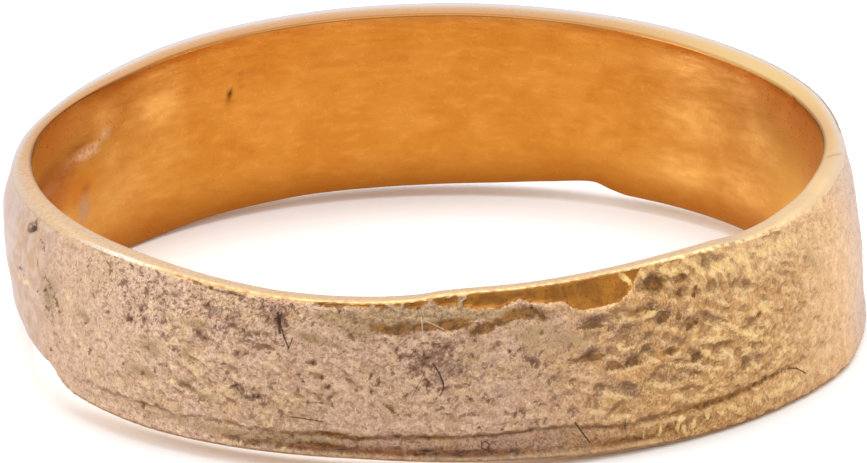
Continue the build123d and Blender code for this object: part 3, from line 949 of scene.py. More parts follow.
# Clouds of specks, each speck placed by chance in its cloud
speckled = (
    # azimuth, level, half length, half width, lean, how many specks
    (-1.0, 2.76, 0.62, 0.22, 32, 26),
    (0.8, 3.06, 0.60, 0.20, 22, 16),
    (2.6, 2.62, 0.50, 0.34, 0, 12),
    (-0.6, 2.30, 0.50, 0.24, 50, 8),
    (-6.0, 2.50, 0.50, 0.30, 0, 7),
    (-20.6, 3.80, 0.40, 0.30, -70, 10),
    (-28.0, 3.90, 2.20, 0.36, -4, 24),
    (-39.0, 3.70, 1.60, 0.50, 0, 9),
    (-24.0, 3.10, 1.60, 0.40, 0, 12),
    (-27.0, 1.90, 1.20, 0.40, -20, 10),
    (-14.0, 2.60, 1.80, 1.20, 0, 22),
    (13.0, 2.60, 1.20, 1.40, 0, 24),
    (6.0, 1.60, 1.60, 0.60, 0, 12),
)
cloud_spread = 0.55
speck_half_width, speck_depth = 0.04, 0.022
least_speck = (0.05, -80, 0.6)    # half length, lean, stain
largest_speck = (0.11, 80, 1.0)
chance = np.random.default_rng(5)
specks = []
for middle, middle_level, half_length, half_width, lean, count in speckled:
    lean = math.radians(lean)
    for _ in range(count):
        along, up = chance.normal(0, cloud_spread, 2) * (half_length, half_width)
        side = along * math.cos(lean) - up * math.sin(lean)
        rise = along * math.sin(lean) + up * math.cos(lean)
        length, turned_by, stain = chance.uniform(least_speck, largest_speck)
        place = (middle + math.degrees(side / crown_radius), middle_level + rise)
        specks.append(place + (length, speck_half_width, turned_by, speck_depth, stain))

# A mark starts to sink near its oval's edge and is at its full depth near the middle
sinks_from, sunk_at = 0.42, 0.85
mark_reach = 6    # degrees, more than any mark is long
spot = np.zeros(len(places))
for *oval, mark_depth, mark_stain in marks + tuple(specks):
    near = (np.abs(seen_azimuth - oval[0]) < mark_reach) & (outside > 0)
    shape = ovals(seen_azimuth[near], seen_level[near], [(*oval, 1.0)], crown_radius)
    relief[near] -= mark_depth * ease(shape + 0.16 * rough_edge[near], sinks_from, sunk_at)
    spot[near] = np.maximum(spot[near], mark_stain * shape)

# Rubbed places and painted highlights
# The metal is rubbed smooth and raised a little along the crest of the rim and on some ridges, and painted
# highlights lie on these places.
rubbed_highlights = (
    # azimuth, level, half length, half width, lean, brightness
    (-68.0, 2.74, 0.20, 0.05, 12, 1.0),
    (-70.6, 2.74, 0.30, 0.10, 4, 0.5),
    (-55.0, 2.90, 0.70, 0.05, -38, 0.5),
    (-54.0, 2.08, 0.60, 0.05, -34, 0.5),
    (-36.1, 1.78, 0.07, 0.05, 0, 0.9),
    (-37.0, 2.66, 0.09, 0.04, 0, 0.7),
    (-33.2, 2.31, 0.08, 0.03, 0, 0.7),
    (-25.5, 2.53, 0.10, 0.03, 30, 0.6),
    (-26.2, 0.48, 0.08, 0.03, 60, 0.8),
    (-20.1, 0.50, 0.05, 0.03, 0, 0.9),
    (26.6, 4.34, 0.24, 0.05, -50, 1.0),
    (29.0, 4.36, 0.16, 0.05, -60, 0.8),
    (32.4, 4.36, 0.20, 0.05, -30, 1.0),
    (34.6, 4.30, 0.24, 0.05, -20, 1.0),
    (37.4, 4.28, 0.34, 0.07, -36, 1.0),
    (40.6, 4.20, 0.30, 0.08, -50, 0.9),
    (42.8, 4.16, 0.24, 0.10, -60, 0.9),
    (45.4, 4.12, 0.34, 0.14, -40, 0.9),
    (48.6, 4.18, 0.40, 0.10, -20, 0.8),
    (52.6, 4.10, 0.60, 0.12, -14, 0.8),
    (57.0, 4.08, 0.60, 0.10, -12, 0.6),
    (62.0, 4.08, 0.60, 0.10, -14, 0.5),
    (46.6, 3.80, 0.12, 0.20, 20, 0.6),
    (49.6, 3.60, 0.12, 0.20, 24, 0.6),
    (49.6, 2.66, 0.24, 0.06, -35, 1.0),
    (46.4, 2.24, 0.50, 0.07, -12, 1.0),
    (48.6, 2.12, 0.26, 0.05, 0, 0.8),
    (38.8, 2.08, 0.20, 0.07, -40, 1.0),
    (39.0, 2.84, 0.14, 0.04, -10, 0.8),
    (42.9, 2.58, 0.50, 0.04, -28, 0.7),
    (38.6, 1.19, 0.13, 0.05, 10, 1.0),
    (51.6, 1.80, 0.50, 0.05, -22, 0.7),
    (54.2, 1.39, 0.28, 0.06, -10, 0.9),
    (60.6, 1.46, 0.44, 0.08, 0, 0.7),
    (56.2, 1.26, 0.14, 0.05, 0, 0.7),
    (28.6, 0.42, 0.13, 0.03, 80, 0.8),
    (31.0, 0.42, 0.16, 0.03, 85, 0.9),
    (33.8, 0.40, 0.13, 0.04, 80, 0.9),
    (34.4, 0.60, 0.09, 0.06, 0, 0.9),
    (34.8, 0.33, 0.13, 0.04, 110, 1.0),
    (36.3, 0.44, 0.12, 0.04, 70, 0.9),
    (38.7, 0.47, 0.14, 0.05, -60, 0.9),
    (39.4, 0.23, 0.26, 0.03, -30, 0.9),
    (41.0, 0.45, 0.14, 0.05, -50, 0.9),
    (42.9, 0.52, 0.32, 0.04, -20, 1.0),
    (44.0, 0.34, 0.32, 0.04, -30, 0.9),
    (47.6, 0.51, 0.18, 0.04, 0, 1.0),
    (50.5, 0.45, 0.50, 0.10, -6, 0.7),
    (55.5, 0.46, 0.60, 0.12, -6, 0.7),
    (30.0, 3.42, 0.30, 0.06, 0, 0.7),
    (28.6, 3.36, 0.26, 0.05, 0, 0.7),
)
ridge_rise = 0.012
shine = ovals(seen_azimuth, seen_level, rubbed_highlights, crown_radius) * outside
relief += ridge_rise * ease(shine, 0.3, 0.7)

# Inside the finger hole
# The hole is smooth, with a shallow lap where metal was folded over at the left, a few small pits, a nick in
# the rim and some long faint hollows. Painted sheen lies on its wall, painted shade above the lap, and a
# painted highlight along the lap's ridge.
inner_marks = (
    # azimuth, height, half length, half width, lean, depth, stain
    (210.3, 3.20, 0.17, 0.07, -65, 0.060, 1.0),
    (208.4, 3.72, 0.14, 0.07, 30, 0.020, 0.5),
    (206.5, 3.60, 0.40, 0.04, 16, 0.010, 0.4),
    (200.3, 2.65, 0.36, 0.07, 92, 0.012, 0.25),
    (197.8, 1.75, 0.16, 0.09, 0, 0.025, 0.4),
    (184.5, 2.70, 0.34, 0.07, 0, 0.012, 0.2),
    (180.5, 4.20, 0.16, 0.06, 0, 0.012, 0.2),
    (191.5, 3.40, 0.14, 0.08, 0, 0.012, 0.2),
    (219.5, 2.60, 0.16, 0.08, 90, 0.012, 0.2),
    (159.5, 1.80, 0.34, 0.07, 90, 0.010, 0.15),
    (111.5, 4.46, 0.20, 0.08, 20, 0.025, 0.1),
)
# Painted sheen: soft pale places on the wall of the finger hole, and a band of it along the top under the rim
inner_sheen = (
    # azimuth, height, half length, half width, lean, brightness
    (247.0, 4.05, 1.20, 0.50, 0, 0.6),
    (236.0, 3.70, 0.80, 0.40, 0, 0.5),
    (234.0, 2.60, 0.70, 0.40, 0, 0.4),
    (224.0, 3.40, 0.90, 0.50, 0, 0.6),
    (224.0, 4.20, 0.90, 0.40, 0, 0.4),
    (224.0, 2.20, 1.40, 0.60, 0, 0.3),
    (232.0, 1.60, 1.60, 0.80, 0, 0.4),
    (149.0, 3.90, 1.00, 0.30, 0, 0.3),
    (136.0, 4.05, 1.20, 0.40, 0, 0.8),
    (136.0, 2.80, 1.20, 0.70, 0, 0.55),
    (138.0, 1.30, 1.20, 0.50, 0, 0.55),
    (124.0, 4.10, 1.20, 0.50, 0, 1.0),
    (122.0, 2.90, 1.00, 0.70, 0, 0.6),
    (126.0, 1.40, 1.20, 0.60, 0, 0.5),
    (106.0, 4.00, 1.20, 0.60, 0, 1.0),
    (112.0, 3.90, 1.20, 0.50, 0, 0.9),
    (100.0, 3.20, 1.20, 1.20, 0, 0.8),
    (165.0, 4.74, 3.60, 0.20, 0, 0.7),
    (195.0, 4.74, 3.60, 0.20, 0, 0.7),
    (146.0, 4.58, 2.00, 0.20, 0, 0.45),
    (126.0, 4.50, 2.00, 0.20, 0, 1.0),
    (106.0, 4.42, 1.60, 0.20, 0, 1.0),
)
inner_grey = (
    # azimuth, height, half length, half width, lean, strength
    (241.7, 1.62, 0.26, 0.24, 0, 1.0),
)
inner_orange = (
    # azimuth, height, half length, half width, lean, strength
    (252.0, 2.30, 1.30, 0.44, -6, 1.0),
    (243.0, 2.20, 0.70, 0.44, 0, 0.8),
    (262.0, 2.60, 1.00, 0.50, 0, 0.8),
)
inner_shade = (
    # azimuth, height, half length, half width, lean, strength
    (254.0, 3.14, 1.30, 0.18, 0, 0.7),
    (244.0, 3.20, 0.80, 0.16, -8, 0.7),
    (241.0, 2.10, 0.20, 0.14, 0, 0.7),
    (206.5, 3.66, 0.50, 0.12, 10, 0.6),
    (190.0, 3.60, 1.20, 0.16, 0, 0.4),
)
lap_edge = (
    # azimuth, height
    (224, 3.90), (230, 3.60), (234, 3.33), (238, 3.08), (242, 3.01), (247, 2.93), (258, 2.87), (262, 2.85),
)
lap_last, lap_depth = 262, 0.045
ridge_below_lap, ridge_width = 0.02, 0.09
behind = np.mod(azimuth, 360)
in_hole = depth_share < 0.5
lap_level = smooth_line(*zip(*lap_edge), behind) + 0.05 * rough_edge
lap_edge_width = 0.05 + 0.20 * ease(behind, 244, 236)
lap = inside * ease(height, lap_level - lap_edge_width, lap_level + lap_edge_width)
lap *= stretch(behind, 230, 246, lap_last - 4, lap_last + 4)
relief -= lap_depth * lap
for *oval, mark_depth, mark_stain in inner_marks:
    shape = ovals(behind, height, [(*oval, 1.0)], bore_radius) * in_hole
    relief -= mark_depth * ease(shape + 0.12 * rough_edge, sinks_from, sunk_at)
    spot = np.maximum(spot, mark_stain * shape)
hole_sheen, lap_grey, orange, shade = (
    ovals(behind, height, rows, bore_radius) for rows in (inner_sheen, inner_grey, inner_orange, inner_shade)
)
hole_end = ease(np.abs(behind - 180), 52, 78) * ease(height, 0.2, 1.6) * inside
# A painted highlight along a ridge just under the lap's edge
lap_ridge_highlight = hump(height, lap_level - ridge_below_lap, ridge_width) * inside
lap_ridge_highlight *= stretch(behind, 232, 238, 262, 276) * (1 - 0.5 * stretch(behind, 242, 244, 244, 246))
lap_ridge_highlight *= 0.7 + 0.3 * ease(behind, 253, 248)

# Relief moves the metal square to the wall: inwards outside, and outwards in the finger hole
relief *= outside + inside
radius = bore_radius + depth + relief * np.where(depth_share > 0.5, 1, -1)
places = np.stack([radius * np.sin(turn), -radius * np.cos(turn), height], axis=1)
band_mesh.vertices.foreach_set("co", (places * mm).ravel())
band_mesh.update()

# How rough, dented and coloured each point of the skin is, and where light and shade are painted on it, for
# the tree and the metal below
stretches = {
    # name: azimuths where it starts, is full, is last full and ends
    "clear dents": (14, 24, 44, 56),
    "faint dents at the left": (-48, -30, 14, 24),
    "faint dents at the right": (44, 56, 90, 110),
    "ripples": (24, 36, 72, 88),
    "faint ripples": (-60, -40, 24, 38),
    "low ripples": (-48, -40, -22, -10),
    "steep ripples": (24, 30, 44, 54),
    "pits": (-58, -44, -12, 30),
    # where painted reflections lie at the two edges
    "reflection at the left edge": (-108, -92, -86, -72),
    "reflection at the right edge": (68, 86, 92, 108),
    # where the crest's painted highlight is paler gold
    "crest highlight at the right": (24, 32, 66, 86),
}
within = {name: stretch(azimuth, *ends) for name, ends in stretches.items()}
turned_away = np.abs(azimuth)
under_top = top - height
at_front = ease(turned_away, 100, 84)
above_foot = ease(level - line_level, 0.10, 0.30)
still_skin = 1 - ease(bare, 0.4, 0.7)
dented = np.maximum(within["clear dents"], 0.22 * within["faint dents at the left"])
dented = np.maximum(dented, 0.30 * within["faint dents at the right"])
dented *= above_foot * ease(under_top, 0.04, 0.30) * outside * still_skin
rippled = within["ripples"] * (0.25 + 0.75 * ease(azimuth, 66, 50))
rippled = np.maximum(rippled, 0.35 * within["faint ripples"])
rippled += 0.25 * within["low ripples"] * ease(level, 2.9, 2.4)
rippled *= (0.4 + 0.6 * above_foot) * outside * still_skin
# Painted shade: the skin is darkened over the middle of the front, fading out to the sides and just under the
# rim
front_shade = ease(np.abs(azimuth + 2 + 6 * rough_edge), 36, 14) * ease(under_top, 0.1, 0.3)
pitted = within["pits"] * (0.35 + 0.65 * ease(level, 2.2, 3.6)) * outside
smooth_facet = ease(azimuth + 5 * rough_edge, -59.5, -65) * ease(azimuth, -125, -100)
grainy = (0.15 + 0.85 * still_skin) * (1 - 0.75 * smooth_facet) * ease(under_top, 0.0, 0.10)
grainy = np.maximum(grainy * (0.55 + 0.45 * at_front) * outside, 0.04 * at_front * (1 - inside))
gilded = ease(azimuth + 8 * rough_edge, 8, 30) * ease(azimuth, 120, 80)
peach = 0.7 * ease(azimuth + 10 * rough_edge, 34, 60) * ease(level, 3.1, 3.9)
peach = np.maximum(peach, ease(azimuth + 10 * rough_edge, 46, 76)) * ease(azimuth, 150, 110)

# The dome's own lean, which slopes are measured against
slope_step = 0.05
wall_below = smooth_line(wall_heights, walls, height - slope_step)
wall_above = smooth_line(wall_heights, walls, height + slope_step)
wall_fall = (wall_below - wall_above) / (2 * slope_step)
dome_lean = wall_fall / np.sqrt(1 + wall_fall**2)

# The crest with its painted highlight, the rim's inner corner with painted shade that takes out its
# highlight, and a scratch that leans across the rim's flat
crest_width = 0.07
crest = hump(depth, wall, crest_width) * ease(under_top, 0.08, 0.03) * ease(depth_share, 0.5, 0.6)
# Painted shade on the rim's inner corner, dark enough to take out its highlight, and weaker round azimuth 124
inner_corner_shade = ease(turned_away, 66, 100) * ease(depth, 0.10, 0.03) * ease(under_top, 0.07, 0.03)
inner_corner_shade *= 1 - 0.6 * hump(azimuth, 124, 20)
scratch_azimuth, scratch_turn, scratch_width = 83.0, 2.5, 0.05
scratch_middle = scratch_azimuth + (depth - 0.15) / 0.30 * scratch_turn
rim_scratch = hump(np.radians(azimuth - scratch_middle) * radius, 0, scratch_width)
rim_scratch *= stretch(depth, 0.05, 0.15, 0.40, 0.50)
for name, values in (
    ("level", level * mm),
    ("dented", dented),
    ("rippled", rippled),
    ("steep", within["steep ripples"] * ease(level, 3.2, 3.6)),
    ("front_shade", front_shade),
    ("pitted", pitted),
    ("grainy", grainy),
    ("dome_lean", dome_lean),
    ("gilded", gilded),
    ("peach", peach),
    # painted reflections at the two edges
    ("left_edge_reflection", within["reflection at the left edge"] * outside),
    ("right_edge_reflection", within["reflection at the right edge"] * outside),
    ("facet", smooth_facet * outside),
    ("bare", bare * outside),
    ("spot", spot),
    ("shine", shine),
    # the crest, which carries a painted highlight
    ("crest", crest),
    ("crest_gold", ease(azimuth, -47, -38)),
    ("crest_highlight_right", within["crest highlight at the right"]),
    ("foot_dirt", foot_dirt * outside),
    # darker towards the bottom of the finger hole, and painted shade above the lap and in a few soft places
    ("hole_darker_low_and_shade", np.maximum(ease(above_edge, 0.95, 0.10) * inside, ease(shade * inside, 0.0, 0.8))),
    ("hole_sheen", ease(hole_sheen, 0.05, 0.80) * inside),
    ("hole_end", hole_end),
    ("lap_ridge_highlight", lap_ridge_highlight),
    ("lap_grey", ease(lap_grey * inside, 0.1, 0.8)),
    ("orange", ease(orange * inside, 0.05, 0.7)),
    ("inner_corner_shade", inner_corner_shade),
    # painted highlight on the inner part of the rim round azimuth 124
    ("rim_highlight", hump(azimuth, 124, 24) * ease(depth_share, 0.95, 0.60)),
    ("rim_scratch", rim_scratch),
    ("calm", ease(azimuth, -26, -50)),
    # painted highlight on the outer part of the rim towards the back
    ("rim_back_highlight", ease(turned_away, 62, 110) * ease(depth_share, 0.50, 0.85)),
    ("rim_glow", ease(turned_away, 66, 110) * ease(depth_share, 0.72, 0.16)),
    ("outside", outside),
    ("inside", inside),
    *stains.items(),
):
    store_values(band_mesh, name, values)

# Punched dents, ripples and grain
# Rows of shallow dents were punched round the wall, each column a little lower than the last. Wear has drawn
# the skin into ripples that sink to the right, and corrosion has roughened it. All follow the wall's surface.
punch_sizes = {
    "Column Pitch": 0.92 * mm,
    "Row Pitch": 0.85 * mm,
    "Column Drop": 0.30 * mm,
    "Wall Radius": crown_radius * mm,
    "Dent Length": 0.34 * mm,
    "Dent Height": 0.22 * mm,
    "Dent Depth": 0.075 * mm,
    "Dent Rim": 1.5,
    "Dent Floor": 0.1,
    "Least Depth": 0.35,
    "Depth By Chance": 0.75,
    "Scatter": 0.40 * mm,
    "Wobble Scale": 4200.0,
    "Wobble": 2.2,
    "Ripple Length": 0.55 * mm,
    "Ripple Width": 0.17 * mm,
    "Ripple Lean": math.radians(24),
    "Steep Lean": math.radians(64),
    "Ripple Depth": 0.26 * mm,
    "Grain Size": 0.13 * mm,
    "Grain Depth": 0.13 * mm,
    "Seed": 7,
}


def centred(tree, value, strength):
    """A chance value of 0 to 1, moved to lie about 0 and made this strong."""
    return sum_of(tree, "MULTIPLY", sum_of(tree, "SUBTRACT", value, 0.5), strength)


def lumpy(tree, place, scale, detail=2.0, roughness=0.5):
    """Smooth chance values of 0 to 1, in lumps of about one over the scale."""
    sockets = {"Vector": place, "Scale": scale, "Detail": detail, "Roughness": roughness}
    return add_node(tree, "ShaderNodeTexNoise", sockets).outputs[0]


punching, group_in, group_out = new_tree(
    "punched_skin", [(name, "Int" if name == "Seed" else "Float") for name in punch_sizes]
)
size = group_in.outputs
azimuth_in, level_in, dented_in, rippled_in, steep_in, grainy_in, lean_in, outside_in = kept_values(
    punching, ("azimuth", "level", "dented", "rippled", "steep", "grainy", "dome_lean", "outside")
)
position = add_node(punching, "GeometryNodeInputPosition").outputs[0]

# The nearest dent of the lattice, moved a little by chance
along = sum_of(punching, "MULTIPLY", azimuth_in, size["Wall Radius"])
column = sum_of(punching, "ROUND", sum_of(punching, "DIVIDE", along, size["Column Pitch"]))
lowered = sum_of(punching, "MULTIPLY_ADD", column, size["Column Drop"], level_in)
row = sum_of(punching, "ROUND", sum_of(punching, "DIVIDE", lowered, size["Row Pitch"]))
cell = add_node(punching, "ShaderNodeCombineXYZ", {"X": column, "Y": row, "Z": size["Seed"]}).outputs[0]
chance = add_node(punching, "ShaderNodeTexWhiteNoise", {"Vector": cell}, noise_dimensions="3D")
chances = add_node(punching, "ShaderNodeSeparateXYZ", {0: chance.outputs["Color"]}).outputs
column_middle = sum_of(punching, "MULTIPLY", column, size["Column Pitch"])
row_middle = sum_of(punching, "MULTIPLY", row, size["Row Pitch"])
offsets = []
for here, middle, luck in ((along, column_middle, chances[0]), (lowered, row_middle, chances[1])):
    from_middle = sum_of(punching, "SUBTRACT", here, middle)
    offsets.append(sum_of(punching, "SUBTRACT", from_middle, centred(punching, luck, size["Scatter"])))
wobble = centred(punching, lumpy(punching, position, size["Wobble Scale"]), size["Wobble"])
far = sum_of(punching, "DIVIDE", offsets[0], size["Dent Length"])
off = sum_of(punching, "DIVIDE", offsets[1], size["Dent Height"])
reach = sum_of(punching, "MULTIPLY_ADD", off, off, sum_of(punching, "MULTIPLY", far, far))
reach = sum_of(punching, "ADD", sum_of(punching, "SQRT", reach), wobble)
hollow = add_node(
    punching,
    "ShaderNodeMapRange",
    {"Value": reach, "From Min": size["Dent Rim"], "From Max": size["Dent Floor"]},
    interpolation_type="SMOOTHSTEP",
).outputs[0]
dent_share = sum_of(punching, "MULTIPLY_ADD", chances[2], size["Depth By Chance"], size["Least Depth"])
hollow = sum_of(punching, "MULTIPLY", hollow, sum_of(punching, "MULTIPLY", dent_share, dented_in))

# Ripples, as noise that is drawn out along a line that leans, and that leans more under the rim
flat = add_node(punching, "ShaderNodeCombineXYZ", {"X": along, "Y": level_in}).outputs[0]
ripples = []
for lean in (size["Ripple Lean"], size["Steep Lean"]):
    turned = add_node(
        punching, "ShaderNodeVectorRotate", {"Vector": flat, "Angle": lean}, rotation_type="Z_AXIS"
    ).outputs[0]
    turned = add_node(punching, "ShaderNodeSeparateXYZ", {0: turned}).outputs
    lengthwise = sum_of(punching, "DIVIDE", turned[0], size["Ripple Length"])
    crosswise = sum_of(punching, "DIVIDE", turned[1], size["Ripple Width"])
    drawn_out = add_node(punching, "ShaderNodeCombineXYZ", {"X": lengthwise, "Y": crosswise}).outputs[0]
    ripples.append(lumpy(punching, drawn_out, 1.0, detail=3.0, roughness=0.6))
steeper = sum_of(punching, "SUBTRACT", ripples[1], ripples[0])
ripple = sum_of(punching, "MULTIPLY_ADD", steeper, steep_in, ripples[0])

# The grain is finer lumps, and the skin moves along its own normal by all three
grain = lumpy(punching, position, sum_of(punching, "DIVIDE", 1.0, size["Grain Size"]), roughness=0.6)
rise = sum_of(punching, "MULTIPLY", sum_of(punching, "MULTIPLY", hollow, size["Dent Depth"]), -1)
for lumps_here, share, high in (
    (grain, grainy_in, size["Grain Depth"]),
    (ripple, rippled_in, size["Ripple Depth"]),
):
    rise = sum_of(punching, "MULTIPLY_ADD", centred(punching, lumps_here, share), high, rise)
normal = add_node(punching, "GeometryNodeInputNormal").outputs[0]
push = add_node(punching, "ShaderNodeVectorMath", {0: normal, "Scale": rise}, operation="SCALE").outputs[0]
skin = add_node(
    punching, "GeometryNodeSetPosition", {"Geometry": group_in.outputs["Geometry"], "Offset": push}
).outputs[0]

# What the metal reads: the hollows, the ripples, and how much more than the dome each slope faces up
facing = add_node(punching, "ShaderNodeSeparateXYZ", {0: normal}).outputs["Z"]
slope = sum_of(punching, "MULTIPLY", sum_of(punching, "SUBTRACT", facing, lean_in), outside_in)
for name, value in (("slope", slope), ("hollow", hollow), ("ripple", ripple)):
    skin = keep_value(punching, skin, name, value)
skin = add_node(punching, "GeometryNodeSetShadeSmooth", {"Geometry": skin, "Shade Smooth": True}).outputs[0]
finish_tree(punching, skin, gilt_metal, group_out)

worn_band = bpy.data.objects.new("worn_band", band_mesh)
bpy.context.scene.collection.objects.link(worn_band)
finished_mesh = grown_mesh(worn_band, punching, punch_sizes, "band_skin")
bpy.data.objects.remove(worn_band)
ring_band = bpy.data.objects.new("ring_band", finished_mesh)
bpy.context.scene.collection.objects.link(ring_band)

# The metal
# Brass with worn fire gilding: saturated and smooth in the finger hole, pale on the rim, and outside a
# pinkish beige patina at the left that turns to warm gold at the right, with painted shade in the hollows and
# dark specks. Painted highlights, reflections and shade lie on the crest, the rim, the edges, the slopes and
# in the finger hole.
gilt_metal.use_nodes = True
metal = gilt_metal.node_tree
metal.nodes.clear()
object_place = add_node(metal, "ShaderNodeTexCoord").outputs["Object"]


def tone(red, green, blue):
    """A colour as it looks on a screen, from 0 to 255, as the linear colour that a shader takes."""
    shares = [value / 255 for value in (red, green, blue)]
    return tuple(s / 12.92 if s < 0.04045 else ((s + 0.055) / 1.055) ** 2.4 for s in shares) + (1,)


def skin_value(name):
    """A value that the mesh carries for each point."""
    return add_node(metal, "ShaderNodeAttribute", attribute_name=name).outputs["Fac"]


def mottle(lump, detail=2.0, roughness=0.55, scale=(1, 1, 1), seed=0):
    """Smooth chance values of 0 to 1 in lumps of this size, in millimetres, on the metal itself."""
    sockets = {"Vector": object_place, "Location": (seed, seed * 0.7, seed * 0.3), "Scale": scale}
    place = add_node(metal, "ShaderNodeMapping", sockets).outputs[0]
    return lumpy(metal, place, 1 / (lump * mm), detail, roughness)


def between(value, start, end, low=0.0, high=1.0):
    """A value carried smoothly from start and end to low and high."""
    return add_node(
        metal,
        "ShaderNodeMapRange",
        {"Value": value, "From Min": start, "From Max": end, "To Min": low, "To Max": high},
        interpolation_type="SMOOTHSTEP",
    ).outputs[0]


def over(below, above, share):
    """One colour laid over another by a share."""
    return add_node(
        metal, "ShaderNodeMix", {0: share, 6: below, 7: above}, data_type="RGBA", clamp_factor=True
    ).outputs[2]


def layered(colour, *layers):
    """A colour with others laid over it in turn, each given as (colour, share)."""
    for above, share in layers:
        colour = over(colour, above, share)
    return colour


def times(*values):
    """The product of several shares."""
    result = values[0]
    for value in values[1:]:
        result = sum_of(metal, "MULTIPLY", result, value)
    return result


def ragged(value, grain, break_up=0.9, soft=0.07, edge=0.5):
    """A patch of the mesh with its edge broken up by a grain that is finer than the mesh."""
    broken = sum_of(metal, "MULTIPLY_ADD", sum_of(metal, "SUBTRACT", grain, 0.5), break_up, value)
    return times(between(broken, edge - soft, edge + soft), between(value, 0.04, 0.22))


broad = mottle(1.3, seed=3)
medium = mottle(0.34, detail=3.0, seed=5)
fine = mottle(0.10, detail=3.0, roughness=0.6, seed=11)
grit = mottle(0.052, detail=2.0, roughness=0.6, scale=(1, 1, 0.8), seed=17)
small = mottle(0.17, seed=23)
gilding, inside_hole = skin_value("gilded"), skin_value("inside")

# The skin outside: patina at the left, gilding at the right, and a pinker gilding at the right end.
# Each layer is a colour and how much of it shows.
pale = layered(
    tone(214, 180, 156),
    (tone(194, 158, 132), between(medium, 0.36, 0.64)),
    (tone(194, 160, 114), between(broad, 0.46, 0.62, 0, 0.5)),
    (tone(192, 160, 152), between(mottle(0.5, seed=31), 0.54, 0.70, 0, 0.5)),
    (tone(234, 205, 180), between(fine, 0.50, 0.68, 0, 0.7)),
    (tone(150, 116, 94), between(fine, 0.48, 0.32, 0, 0.6)),
    (tone(156, 122, 98), between(small, 0.47, 0.34, 0, 0.7)),
    (tone(216, 184, 156), times(skin_value("calm"), 0.40)),
)
warm = layered(
    tone(206, 161, 106),
    (tone(184, 139, 88), between(medium, 0.36, 0.64)),
    (tone(238, 202, 142), between(fine, 0.50, 0.70, 0, 0.5)),
    (tone(152, 112, 70), between(fine, 0.47, 0.30, 0, 0.5)),
    (tone(158, 116, 74), between(small, 0.46, 0.34, 0, 0.6)),
)
pink = layered(
    tone(238, 200, 156),
    (tone(224, 182, 136), between(medium, 0.36, 0.64)),
    (tone(248, 222, 180), between(fine, 0.50, 0.70, 0, 0.4)),
    (tone(200, 158, 114), between(fine, 0.46, 0.30, 0, 0.4)),
)
cells = mottle(0.12, detail=3.0, roughness=0.65, scale=(1, 1, 1.3), seed=41)
cell_share = times(between(cells, 0.46, 0.37), between(skin_value("pitted"), 0, 1, 0.15, 0.75))
skin_colour = layered(
    pale,
    (warm, gilding),
    (pink, skin_value("peach")),
    # painted shade over the middle of the front
    (tone(152, 118, 90), times(skin_value("front_shade"), 0.30)),
    (tone(230, 198, 162), between(grit, 0.52, 0.68, 0, 0.45)),
    (tone(108, 80, 68), cell_share),
)

# Painted shade lies where a slope faces down and in the hollows, painted highlights lie on slopes that face
# up, and the ripples get painted shade in their troughs and painted highlights on their ridges. Dirt lies in
# the foot's lines and on the strip between them, and a painted reflection tints the right edge.
lean, wave, rippling = (skin_value(name) for name in ("slope", "ripple", "rippled"))
hollow_shade_share = times(between(skin_value("hollow"), 0.12, 0.7), 0.70, between(fine, 0.62, 0.42, 0.25, 0.85))
# Painted highlight where a slope faces up
upslope_highlight_share = times(between(lean, 0.06, 0.36), between(gilding, 0, 1, 0.3, 0.55))
foot_tone = over(tone(138, 91, 58), tone(88, 52, 38), between(medium, 0.60, 0.38))
foot_share = times(skin_value("foot_dirt"), between(fine, 0.66, 0.38, 0.65, 1.0))
skin_colour = layered(
    skin_colour,
    # painted shade in the hollows
    (tone(140, 108, 74), hollow_shade_share),
    # painted shade where a slope faces down
    (tone(132, 100, 72), between(lean, -0.04, -0.36, 0, 0.75)),
    # painted highlight where a slope faces up
    (tone(244, 212, 160), upslope_highlight_share),
    # painted shade in the ripples' troughs and painted highlights on their ridges
    (tone(166, 122, 76), times(between(wave, 0.49, 0.36), rippling, 0.6)),
    (tone(242, 210, 154), times(between(wave, 0.53, 0.66), rippling, 0.5)),
    (foot_tone, foot_share),
    # painted reflection at the right edge
    (tone(206, 186, 178), times(skin_value("right_edge_reflection"), 0.75)),
)

# Crusts and stains, then the ground-off facet with a painted reflection at the left edge, and the crest with
# its painted highlight
olive_tone = over(tone(164, 138, 98), tone(126, 100, 72), between(fine, 0.54, 0.40))
olive_share = times(ragged(skin_value("olive"), fine, edge=0.40, soft=0.14), 0.7)
violet_tone = over(tone(150, 122, 106), tone(112, 88, 80), between(grit, 0.56, 0.42))
violet_share = ragged(skin_value("violet"), fine, edge=0.46, soft=0.14)
violet_share = times(violet_share, between(gilding, 0, 1, 0.6, 0.35))
brown_tone = over(tone(144, 98, 46), tone(100, 68, 40), between(small, 0.60, 0.40))
brown_share = times(ragged(skin_value("brown"), fine, break_up=1.0, edge=0.38, soft=0.20), 0.92)
bare_share = ragged(skin_value("bare"), fine, break_up=0.7)
bare_tone = layered(
    tone(160, 104, 38),
    (tone(136, 86, 32), between(medium, 0.40, 0.62)),
    (tone(96, 60, 28), between(fine, 0.44, 0.32, 0, 0.5)),
)
speck_level = sum_of(metal, "MULTIPLY_ADD", skin_value("black"), -0.16, grit)
speck_level = sum_of(metal, "MULTIPLY_ADD", skin_value("peach"), 0.05, speck_level)
speck_share = times(between(speck_level, 0.39, 0.31, 0, 0.5), skin_value("grainy"))
facet_tone = layered(
    tone(204, 180, 162),
    (tone(190, 158, 134), between(medium, 0.38, 0.62)),
    # painted reflection at the left edge
    (tone(208, 198, 202), skin_value("left_edge_reflection")),
    (tone(196, 160, 112), between(broad, 0.50, 0.64, 0, 0.5)),
)
